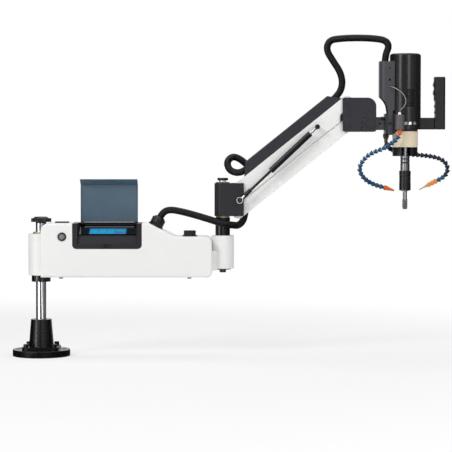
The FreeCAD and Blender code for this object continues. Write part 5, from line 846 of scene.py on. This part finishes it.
@dataclass
class FirstArm(SubAssembly):
    """The welded arm with its sheet casing, bushes, clamping knob and electronics."""

    inner_wall: float = 60.0
    rim_shade_foot: float = 395.0
    rim_shade_span: tuple[float, float] = (108.0, 302.0)
    facing: float = 0.9

    def build(self) -> None:
        """Dresses the arm."""
        self.palette.dress(Paint.WHITE, "arm_frame", "bottom_cover")
        self.palette.dress_faces("arm_casing", self._casing)
        self.palette.dress(Paint.CREAM_BUSH, "column_bushes")
        self.palette.dress(Paint.NYLON, "star_knob", "port_cover", "cable_glands")
        self.palette.dress(Paint.OXIDE, "cover_screws")
        self.palette.dress(Paint.MODULE, "drive_electronics")

    def _casing(self, spot: Spot) -> Paint:
        """White outside; painted shade inside the long walls in flat dark grey, and on the rim behind the
        lid in matt black, where the recess behind the lid falls into shade.

        Args:
            spot: Where the face lies.

        Returns:
            Its finish.
        """
        inward = spot.middle.y * spot.normal.y < 0 and abs(spot.normal.y) > self.facing
        # painted shade: the inside of the long walls is drawn in a flat dark grey
        if inward and abs(spot.middle.y) > self.inner_wall:
            return Paint.PRIMER
        # painted shade: the rim behind the lid is drawn in matt black
        behind = self.rim_shade_span[0] < spot.middle.x < self.rim_shade_span[1] and spot.middle.y > self.inner_wall
        rim = behind and spot.middle.z > self.rim_shade_foot and spot.normal.y < self.facing
        return Paint.RUBBER if rim else Paint.WHITE


@dataclass(frozen=True)
class Area:
    """A lit area: its sides from the display's middle, and its ends as shares of the display's length."""

    name: str
    left: float
    right: float
    front: float
    rear: float
    paint: Paint = Paint.SCREEN_FIELD


@dataclass
class ControlPanel(SubAssembly):
    """The tray with its touch display, the smoked lid, and the power button beside it."""

    display_width: float = 111.0
    display_length: float = 65.5
    display_inset: float = 4.8
    header_front: float = 0.87
    margin: float = 4.0
    field_step: float = 25.0
    field_width: float = 22.0
    field_front: float = 0.07
    field_row: float = 0.26
    field_length: float = 0.17
    key_width: float = 26.0
    run_key: tuple[float, float] = (0.50, 0.78)
    stop_key: tuple[float, float] = (0.10, 0.40)
    area_lift: float = 0.12
    area_sink: float = 0.2
    area_corner: float = 1.6
    corner_steps: int = 4
    lid_edge: float = 1.0
    lid_foot: float = 8.0
    lip_foot: float = 528.0
    mark_radius: float = 4.6
    mark_width: float = 1.1
    mark_lift: float = 0.15
    mark_gap: float = 38.0      # degrees on each side of the ring's top
    mark_steps: int = 32
    bar_foot: float = 0.6
    bar_over: float = 1.6
    button_face: float = -69.6

    def build(self) -> None:
        """Dresses the panel and builds what its display and button show."""
        self.palette.dress(Paint.PANEL, "panel_tray")
        self.palette.dress(Paint.GLASS, "screen_glass")
        self.palette.dress(Paint.SCREEN, "display")
        self.palette.dress(Paint.OXIDE, "lid_pins")
        self.palette.dress(Paint.NYLON, "button_bezel")
        self.palette.dress(Paint.BUTTON, "push_button")
        self.palette.dress_faces("flip_lid", self._lid)
        self._display()
        self._mark()

    def _lid(self, spot: Spot) -> Paint:
        """Deeper tint on the pane's cut edges, the same darker tint along its foot by the hinge, a paler
        one on its bent lip.

        Args:
            spot: Where the face lies.

        Returns:
            Its finish.
        """
        near_side = min(spot.middle.x - spot.low.x, spot.high.x - spot.middle.x) < self.lid_edge
        # the pane's foot by the hinge is drawn darker
        if near_side or spot.middle.z < spot.low.z + self.lid_foot:
            return Paint.SMOKED_EDGE
        return Paint.SMOKED_LIP if spot.middle.z > self.lip_foot else Paint.SMOKED

    def _display(self) -> None:
        """Builds the display's header, number fields and two keys as thin lit areas."""
        half = self.display_width / 2
        areas = [Area("header", -half, half, self.header_front, 1.0, Paint.SCREEN_BAR)]
        for row in range(3):
            front = self.field_front + row * self.field_row
            for column in range(3):
                left = -half + self.margin + column * self.field_step
                areas.append(Area(f"field_{row}{column}", left, left + self.field_width, front,
                                  front + self.field_length))
        key_left = half - self.margin - self.key_width
        areas.append(Area("run_key", key_left, half - self.margin, *self.run_key, Paint.SCREEN_RUN))
        areas.append(Area("stop_key", key_left, half - self.margin, *self.stop_key, Paint.SCREEN_STOP))
        for area in areas:
            name = f"display_{area.name}"
            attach(make_object(name, self._area(name, area), self.palette.get(area.paint)), "first_arm")
        LOG.info("display: %d lit areas", len(areas))

    def _area(self, name: str, area: Area) -> Mesh:
        """Builds one thin area with rounded corners, tilted as the panel is.

        Args:
            name: The mesh's name.
            area: Where it lies.

        Returns:
            The area's mesh.
        """
        radius = self.area_corner
        front = self.display_inset + area.front * self.display_length + radius
        rear = self.display_inset + area.rear * self.display_length - radius
        left, right = area.left + radius, area.right - radius
        corners = []
        for cx, cy, turn in ((right, front, -90), (right, rear, 0), (left, rear, 90), (left, front, 180)):
            for step in range(self.corner_steps + 1):
                angle = math.radians(turn + 90 * step / self.corner_steps)
                corners.append((cx + radius * math.cos(angle), cy + radius * math.sin(angle)))
        tilt = Matrix.Rotation(math.radians(PANEL_TILT), 4, "X")
        heights = (-self.area_sink, self.area_lift - self.area_sink)
        return loft(name, [[mm(*GLASS_FRONT) + tilt @ mm(x, y, z) for x, y in corners] for z in heights])

    def _mark(self) -> None:
        """Builds the plain on-off mark on the power button: a broken ring and a bar."""
        half = self.mark_width / 2
        inner, outer = self.mark_radius - half, self.mark_radius + half
        ring = ((inner, 0.0), (outer, 0.0), (outer, self.mark_lift), (inner, self.mark_lift))
        rings = []
        for step in range(self.mark_steps + 1):
            angle = math.radians(90 + self.mark_gap + step * (360 - 2 * self.mark_gap) / self.mark_steps)
            x, z = math.cos(angle), math.sin(angle)
            rings.append([self._on_button(x * reach, z * reach, lift) for reach, lift in ring])
        bar = ((-half, 0.0), (half, 0.0), (half, self.mark_lift), (-half, self.mark_lift))
        bars = [[self._on_button(x, z, lift) for x, lift in bar]
                for z in (self.bar_foot, self.mark_radius + self.bar_over)]
        for name, sections in (("power_mark_ring", rings), ("power_mark_bar", bars)):
            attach(make_object(name, loft(name, sections), self.palette.get(Paint.MARK)), "power_button")
        LOG.info("power mark built")

    def _on_button(self, x: float, z: float, lift: float) -> Vector:
        """Places a point on the button's face, from its middle, in metres."""
        return mm(BUTTON[0] + x, self.button_face - lift, BUTTON[2] + z)


# ---- second arm ----
@dataclass
class SwivelPost(SubAssembly):
    """The post between the two arms, its cap, washers and bushes, and the bracket that turns on it."""

    cap_foot: float = 535.0
    cap_slack: float = 0.5
    washer_foot: float = 421.0
    upper_washer: float = 526.5

    def build(self) -> None:
        """Dresses the post and the bracket."""
        self.palette.dress(Paint.LACQUER, "post")
        self.palette.dress(Paint.BRONZE, "swivel_bushes")
        self.palette.dress(Paint.GRAPHITE, "swivel_bracket", "link_pins")
        self.palette.dress_faces("post_fasteners", self._fastener)

    def _fastener(self, spot: Spot) -> Paint:
        """Black cap on a bright neck, bronze washers, black nut below.

        Args:
            spot: Where the face lies.

        Returns:
            Its finish.
        """
        if spot.high.z > self.cap_foot:
            return Paint.NYLON if spot.middle.z > self.cap_foot - self.cap_slack else Paint.NICKEL
        if spot.low.z > self.upper_washer:
            return Paint.DARK_BRONZE
        return Paint.BRONZE if spot.low.z > self.washer_foot else Paint.OXIDE


@dataclass
class ParallelogramArm(SubAssembly):
    """The two white links with their cover strip, and the gas spring that carries the head's weight."""

    spring_foot: Point = (605.4, -46.0, 475.5)
    spring_head: Point = (840.0, -46.0, 697.5)
    fork_end: float = 22.0
    tube_end: float = 293.5
    neck_end: float = 309.0
    stud_span: float = 100.0

    def build(self) -> None:
        """Dresses the links and the spring."""
        self.palette.dress(Paint.WHITE, "lower_link")
        self.palette.dress_faces("upper_link", self._upper_link)
        self.palette.dress(Paint.CHARCOAL, "cable_cover")
        self.palette.dress_faces("gas_cylinder", self._cylinder)
        self.palette.dress_faces("gas_rod", self._rod)
        self.palette.dress(Paint.OXIDE, "hose_clip")

    def _upper_link(self, spot: Spot) -> Paint:
        """White for the link, black oxide for the spring's stud."""
        return Paint.WHITE if spot.high.x - spot.low.x > self.stud_span else Paint.OXIDE

    def _along(self, spot: Spot) -> float:
        """Measures how far along the spring a face lies, from its foot."""
        foot = Vector(self.spring_foot)
        return (spot.middle - foot).dot((Vector(self.spring_head) - foot).normalized())

    def _cylinder(self, spot: Spot) -> Paint:
        """Lacquered tube with a bright neck at its closed end, and a black end."""
        end = Paint.CHROME if self._along(spot) < self.neck_end else Paint.OXIDE
        return Paint.LACQUER if self._along(spot) < self.tube_end else end

    def _rod(self, spot: Spot) -> Paint:
        """Bright fork end at the foot, black rod."""
        return Paint.CHROME if self._along(spot) < self.fork_end else Paint.LACQUER


@dataclass
class EndBracket(SubAssembly):
    """The plates at the arm's end, with the tilting knuckle that holds the head."""

    def build(self) -> None:
        """Dresses the plates and the knuckle."""
        self.palette.dress(Paint.CHARCOAL, "end_plates", "end_spacer", "end_fasteners")
        self.palette.dress(Paint.SLATE, "tilt_knuckle")
        self.palette.dress(Paint.OXIDE, "roll_lock")
        self.palette.dress(Paint.RUBBER, "stop_pads")


# ---- head ----
@dataclass
class Head(SubAssembly):
    """The servo head: its cover and motor, gearbox, cable channel, handle and thumb buttons."""

    cover_radius: float = 45.5
    cover_top: float = 8.0
    outward: float = -1.0
    channel_side: float = 1066.0

    def build(self) -> None:
        """Dresses the head."""
        self.palette.dress(Paint.CHARCOAL, "mount_block", "gearbox_flange")
        self.palette.dress(Paint.SLATE, "cable_channel")
        self.palette.dress_faces("motor_cover", self._cover)
        # painted shade: the motor, seen only through the cover's slots, is drawn in a flat dark grey
        self.palette.dress(Paint.PRIMER, "servo_motor")
        self.palette.dress(Paint.CREAM, "gearbox")
        self.palette.dress(Paint.NYLON, "spindle_guard", "handle")
        self.palette.dress(Paint.STAINLESS, "start_button", "reverse_button")
        self.palette.dress_faces("head_screws", self._screw)

    def _cover(self, spot: Spot) -> Paint:
        """Satin paint outside, painted shade in a flat dark grey inside the tube and its slots.

        Args:
            spot: Where the face lies.

        Returns:
            Its finish.
        """
        reach = math.hypot(spot.middle.x - HEAD_X, spot.middle.y)
        turned = (spot.middle.x - HEAD_X) * spot.normal.x + spot.middle.y * spot.normal.y
        below = spot.middle.z < spot.high.z - self.cover_top
        inside = below and (turned < self.outward or reach < self.cover_radius)
        # painted shade: the tube's inside and its slots are drawn in a flat dark grey
        return Paint.PRIMER if inside else Paint.MOTOR

    def _screw(self, spot: Spot) -> Paint:
        """Black oxide for the channel's screws, nickel for the cover's."""
        return Paint.OXIDE if spot.high.x < self.channel_side else Paint.NICKEL


@dataclass
class Chuck(SubAssembly):
    """The spindle with its grooved barrel, the ribbed quick-change sleeve and the tap."""

    top: float = 545.9
    shank_foot: float = 475.9
    shank_end: float = 478.9
    foot: float = 447.9
    shank_radius: float = 6.5
    thread_radius: float = 8.4
    core_share: float = 0.915
    pitch: float = 1.5
    steps_per_thread: int = 8
    flutes: int = 4
    flute_depth: float = 2.6
    flute_sharpness: float = 0.6
    lead_in: float = 7.0
    tip_share: float = 0.78
    sides: int = 96
    grooves: tuple[tuple[float, float], ...] = ((586.9, 591.0), (598.9, 602.0))
    barrel_radius: float = 14.1

    def build(self) -> None:
        """Dresses the chuck and builds the tap."""
        self.palette.dress_faces("spindle", self._spindle)
        self.palette.dress(Paint.OXIDE, "chuck_sleeve")
        self._tap()

    def _spindle(self, spot: Spot) -> Paint:
        """Ground barrel with black bands in its grooves."""
        sunk = math.hypot(spot.middle.x - HEAD_X, spot.middle.y) < self.barrel_radius
        return Paint.OXIDE if sunk and any(a < spot.middle.z < b for a, b in self.grooves) else Paint.GROUND

    def _tap(self) -> None:
        """Builds the tap: a smooth shank and a fluted, threaded end. It stands for its solid."""
        rings = [self._ring(z, self.shank_radius, 0.0) for z in (self.top, self.shank_end)]
        count = round((self.shank_foot - self.foot) / self.pitch * self.steps_per_thread)
        for i in range(count + 1):
            z = self.shank_foot - (self.shank_foot - self.foot) * i / count
            tooth = abs(2 * ((i / self.steps_per_thread) % 1.0) - 1)
            crest = self.thread_radius * (self.core_share + (1 - self.core_share) * tooth)
            above = (z - self.foot) / self.lead_in
            if above < 1:
                crest = min(crest, self.thread_radius * (self.tip_share + (1 - self.tip_share) * above))
            rings.append(self._ring(z, crest, self.flute_depth))
        piece = make_object("threaded_tap", loft("threaded_tap", rings), self.palette.get(Paint.STEEL))
        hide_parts("tap")
        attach(piece, "spindle")
        LOG.info("threaded_tap: %d rings", len(rings))

    def _ring(self, z: float, radius: float, depth: float) -> list[Vector]:
        """Places one ring's corners.

        Args:
            z: The ring's height.
            radius: Its largest radius.
            depth: How deep the flutes are cut.

        Returns:
            The corners in metres.
        """
        corners = []
        for k in range(self.sides):
            angle = 2 * math.pi * k / self.sides
            wave = max(0.0, math.cos(self.flutes * (angle - math.pi / 4))) ** self.flute_sharpness
            reach = radius - depth * wave
            corners.append(mm(HEAD_X + reach * math.cos(angle), reach * math.sin(angle), z))
        return corners


@dataclass(frozen=True)
class Turned:
    """One turned end of a coolant hose: its profile along a heading from its foot."""

    name: str
    paint: Paint
    foot: Point
    heading: Point
    profile: Profile


@dataclass
class CoolantHoses(SubAssembly):
    """The two link-and-ball hoses, their valves, fittings and nozzles."""

    front_fitting: Point = (1086.98, -59.0, 688.2)
    rear_fitting: Point = (1051.98, 14.0, 665.2)
    front_end: Point = (1043.98, -22.0, 513.98)
    front_heading: Point = (33.0, 10.0, -10.0)
    rear_end: Point = (1204.98, 11.0, 532.98)
    rear_heading: Point = (-18.0, -2.0, -9.0)
    rear_side: float = -5.0
    teal_from: float = 1192.0
    teal_top: float = 560.0
    plug_foot: float = 730.0
    coil_side: float = -40.0
    down: Point = (0.0, 0.0, -1.0)
    ends: tuple[Turned, ...] = (
        Turned("front_fitting", Paint.ORANGE, front_fitting, down,
               ((0, 6.0), (0.5, 7.4), (4.6, 7.6), (5.0, 6.4), (6.2, 6.4), (6.6, 7.6), (9.6, 7.5),
                (10.2, 6.2), (11.5, 5.4), (13.0, 5.6), (15.5, 5.1), (17.4, 3.4))),
        Turned("rear_fitting", Paint.DARK_BRONZE, rear_fitting, down,
               ((0, 5.6), (0.5, 6.8), (5.0, 7.0), (5.6, 5.4), (8.0, 5.4), (10.5, 5.6), (14.0, 5.3),
                (17.0, 3.6))),
        Turned("front_nozzle", Paint.ORANGE, front_end, front_heading,
               ((0, 6.6), (0.6, 7.5), (5.6, 7.6), (6.2, 6.9), (9.0, 6.4), (27.0, 3.3), (31.5, 2.9),
                (33.2, 2.5), (34.0, 1.5))),
        Turned("rear_nozzle", Paint.AMBER, rear_end, rear_heading,
               ((-1.5, 6.2), (-1.0, 7.4), (5.2, 7.6), (6.6, 5.8), (8.2, 5.8), (10.0, 7.2), (16.6, 7.4),
                (18.2, 5.4), (20.0, 5.4), (21.6, 6.6), (28.0, 6.4), (29.4, 4.6))),
        Turned("rear_nozzle_cone", Paint.BEIGE, rear_end, rear_heading,
               ((29.0, 4.4), (29.6, 4.9), (33.0, 4.7), (34.0, 3.8), (42.0, 2.3), (44.0, 2.0))),
        Turned("rear_nozzle_tip", Paint.BRASS, rear_end, rear_heading,
               ((43.0, 1.4), (57.0, 1.4), (58.5, 1.0))),
    )

    def build(self) -> None:
        """Dresses the hoses and builds their ends."""
        self.palette.dress_faces("hose_segments", self._segment)
        self.palette.dress_faces("coolant_valves", self._valve)
        for end in self.ends:
            mesh = lathe(end.name, end.profile, Vector(end.foot), Vector(end.heading))
            piece = make_object(end.name, mesh, self.palette.get(end.paint))
            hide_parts("hose_ends")
            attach(piece, "head")
            LOG.info("%s: %s", end.name, end.paint.value.name)

    def _segment(self, spot: Spot) -> Paint:
        """Teal for the front hose and the rear hose's last links; painted shade in navy for the rest of the
        rear hose, behind the head.
        """
        last = spot.low.x > self.teal_from and spot.high.z < self.teal_top
        # painted shade: the rear hose's links behind the head are drawn in a darker navy copy of the teal
        return Paint.NAVY if spot.low.y > self.rear_side and not last else Paint.TEAL

    def _valve(self, spot: Spot) -> Paint:
        """Nickel for the front valve's plug, grey polyamide for its coil, black for the rear one."""
        body = Paint.COIL if spot.low.y < self.coil_side else Paint.OXIDE
        return Paint.NICKEL if spot.low.z > self.plug_foot else body


# ---- studio, in metres ----
class Zone(Enum):
    """How low and how high a card reaches, in metres. Each height lights other parts of the machine."""

    FLAT = (0.0, 0.0)
    LOW = (0.002, 0.42)
    MIDDLE = (0.42, 0.66)
    HIGH = (0.66, 3.0)
    WHOLE = (0.002, 3.0)


@dataclass(frozen=True)
class Card:
    """A bent upright card that only gloss shows, between two angles round the machine, in degrees.

    0 is in front of the machine and 90 on its right. A card that reaches the floor runs on along it.
    Its level is 1 where it is as bright as white paper.
    """

    name: str
    start: float
    end: float
    level: float
    zone: Zone = Zone.WHOLE


@dataclass(frozen=True)
class Lamp:
    """A soft square light: where it stands, what it points at, its side and its power in watts."""

    name: str
    place: Point
    target: Point
    size: float
    power: float


@dataclass
class Studio:
    """The floor, the white surroundings, the lights, the cards and the camera, in metres and degrees."""

    floor_colour: str = "F7F7F7"
    floor_shade: str = "F4F4F4"
    floor_half: float = 30.0
    floor_roughness: float = 0.9
    cloud_size: float = 0.4
    fade_start: float = 1.0
    fade_end: float = 2.4
    near_white: float = 0.6
    sky: float = 0.42
    camera_place: Point = (0.564, -5.7, 0.62)
    camera_dip: float = 2.25
    lens: float = 149.0
    sensor: float = 36.0
    sight: float = 100.0
    card_radius: float = 2.8
    card_inner: float = 0.8
    card_middle: float = 0.55
    card_lift: float = 0.002
    card_step: float = 5.0
    lamps: tuple[Lamp, ...] = (
        Lamp("key_light", (-2.4, -3.2, 3.2), (0.5, 0.0, 0.4), 1.5, 92.0),
        Lamp("fill_light", (3.4, -3.2, 1.9), (0.8, 0.0, 0.5), 1.5, 40.0),
        Lamp("top_light", (0.6, 0.5, 3.6), (0.6, 0.0, 0.4), 1.8, 30.0),
    )
    cards: tuple[Card, ...] = (
        Card("card_under", -180, 180, 0.03, Zone.FLAT),
        Card("card_left_rear", -150, -84, 0.03),
        Card("card_left_low", -84, -64, 0.7, Zone.LOW),
        Card("strip_left_low", -64, -51, 7.5, Zone.LOW),
        Card("card_left_front_low", -51, -9, 0.2, Zone.LOW),
        Card("card_front_low", -9, 0, 0.5, Zone.LOW),
        Card("strip_front_low", 0, 12, 2.4, Zone.LOW),
        Card("card_right_front_low", 12, 38, 0.4, Zone.LOW),
        Card("card_left_middle", -84, -48, 0.7, Zone.MIDDLE),
        Card("strip_left_middle", -48, -26, 1.9, Zone.MIDDLE),
        Card("card_left_front_middle", -26, -6, 0.25, Zone.MIDDLE),
        Card("card_front_middle", -6, 26, 1.0, Zone.MIDDLE),
        Card("card_right_front_middle", 26, 38, 0.25, Zone.MIDDLE),
        Card("card_left_high", -84, -41, 0.12, Zone.HIGH),
        Card("strip_left_high", -41, -28, 7.0, Zone.HIGH),
        Card("card_front_high", -28, 26, 0.12, Zone.HIGH),
        Card("strip_right_high", 26, 38, 4.5, Zone.HIGH),
        Card("card_right", 38, 80, 0.25),
        Card("card_right_rear", 80, 145, 0.06),
    )

    def build(self) -> None:
        """Builds the whole studio, the camera first."""
        self._camera()
        self._floor()
        for lamp in self.lamps:
            self._light(lamp)
        for card in self.cards:
            self._card(card)
        self._surroundings()
        bpy.context.scene.view_settings.view_transform = "Standard"
        LOG.info("studio built")

    def _surroundings(self) -> None:
        """Sets up the world: an even sky that is white where it is seen."""
        world = bpy.data.worlds.new("studio_world")
        world.use_nodes = True
        tree = world.node_tree
        seen = self._seen(tree)
        level = add_node(tree, "Math", {0: seen, 1: self.sky}, operation="MAXIMUM")
        background = tree.nodes["Background"]
        background.inputs["Color"].default_value = srgb("FFFFFF")
        tree.links.new(level.outputs[0], background.inputs["Strength"])
        bpy.context.scene.world = world

    @staticmethod
    def _seen(tree: NodeTree) -> NodeSocket:
        """Tells rays that show the background from rays that light the machine.

        Args:
            tree: The nodes that need to know.

        Returns:
            One for the camera's rays, reflections and what shows through glass.
        """
        rays = add_node(tree, "LightPath").outputs
        straight = add_node(tree, "Math", {0: rays["Is Camera Ray"], 1: rays["Is Transmission Ray"]},
                            operation="MAXIMUM")
        return add_node(tree, "Math", {0: straight.outputs[0], 1: rays["Is Glossy Ray"]},
                        operation="MAXIMUM").outputs[0]

    def _floor(self) -> None:
        """Builds the floor, paper near the machine and even white further off."""
        mesh = bpy.data.meshes.new("studio_floor")
        half = self.floor_half
        corners = [(-half, -half, 0.0), (half, -half, 0.0), (half, half, 0.0), (-half, half, 0.0)]
        mesh.from_pydata(corners, [], [(0, 1, 2, 3)])
        material = empty_material("studio_paper")
        tree = material.node_tree
        place = add_node(tree, "TexCoord").outputs["Object"]
        clouds = add_node(tree, "TexNoise", {"Vector": place, "Scale": 1 / self.cloud_size, "Detail": 2.0})
        colour = add_node(tree, "Mix", {
            0: clouds.outputs["Fac"], MIX_A: srgb(self.floor_shade), MIX_B: srgb(self.floor_colour),
        }, data_type="RGBA")
        paper = add_node(tree, "BsdfPrincipled", {
            "Base Color": colour.outputs[MIXED], "Roughness": self.floor_roughness,
            "Specular IOR Level": 0.0,
        })
        reach = add_node(tree, "VectorMath", {0: place}, operation="LENGTH")
        far = add_node(tree, "MapRange", {
            "Value": reach.outputs["Value"], "From Min": self.fade_start, "From Max": self.fade_end,
            "To Min": self.near_white, "To Max": 1.0,
        }, interpolation_type="SMOOTHSTEP")
        share = add_node(tree, "Math", {0: self._seen(tree), 1: far.outputs[0]}, operation="MULTIPLY")
        white = add_node(tree, "Emission", {"Strength": 1.0})
        blend = add_node(tree, "MixShader", {0: share.outputs[0], 1: paper.outputs[0], 2: white.outputs[0]})
        add_node(tree, "OutputMaterial", {"Surface": blend.outputs[0]})
        make_object("studio_floor", mesh, material)

    def _card(self, card: Card) -> None:
        """Builds a card, which lights and shades bright metal and gloss alone.

        Args:
            card: Its angles, its level and its zone.
        """
        foot, top = card.zone.value
        section = [(self.card_radius, foot), (self.card_radius, top)]
        if card.zone is Zone.FLAT:
            section = [(0.0, self.card_lift), (self.card_inner, self.card_lift)]
        elif foot == self.card_lift:
            section.insert(0, (self.card_inner, foot))
        steps = max(2, round((card.end - card.start) / self.card_step))
        count = len(section)
        points, faces = [], []
        for step in range(steps + 1):
            turn = math.radians(card.start + (card.end - card.start) * step / steps)
            for reach, height in section:
                points.append((self.card_middle + reach * math.sin(turn), -reach * math.cos(turn), height))
            if step:
                last = (step - 1) * count
                faces += [(last + k, last + k + count, last + k + count + 1, last + k + 1)
                          for k in range(count - 1)]
        mesh = bpy.data.meshes.new(card.name)
        mesh.from_pydata(points, [], faces)
        material = empty_material(card.name)
        glow = add_node(material.node_tree, "Emission", {"Strength": card.level})
        add_node(material.node_tree, "OutputMaterial", {"Surface": glow.outputs[0]})
        made = make_object(card.name, mesh, material)
        for ray in ("camera", "diffuse", "transmission", "shadow"):
            setattr(made, f"visible_{ray}", False)

    def _light(self, lamp: Lamp) -> None:
        """Adds one soft light.

        Args:
            lamp: Its place, size and power.
        """
        light = bpy.data.lights.new(lamp.name, "AREA")
        light.energy = lamp.power
        light.size = lamp.size
        holder = make_object(lamp.name, light)
        holder.location = lamp.place
        aim = Vector(lamp.target) - Vector(lamp.place)
        holder.rotation_euler = aim.to_track_quat("-Z", "Y").to_euler()

    def _camera(self) -> None:
        """Adds the camera, level with the upper arm and far off."""
        camera = bpy.data.cameras.new("camera")
        camera.lens = self.lens
        camera.sensor_width = self.sensor
        camera.clip_end = self.sight
        holder = make_object("camera", camera)
        holder.location = self.camera_place
        holder.rotation_euler = (math.radians(90 - self.camera_dip), 0.0, 0.0)
        bpy.context.scene.camera = holder


def main() -> None:
    """Builds the studio, the hoses and every sub-assembly."""
    logging.basicConfig(level=logging.INFO, format="%(message)s")
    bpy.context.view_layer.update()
    Studio().build()
    palette = Palette()
    for part in (Hoses, Base, FirstArm, ControlPanel, SwivelPost, ParallelogramArm, EndBracket, Head, Chuck,
                 CoolantHoses):
        LOG.info("%s", part.__name__)
        part(palette).build()


if __name__ == "__main__":
    main()
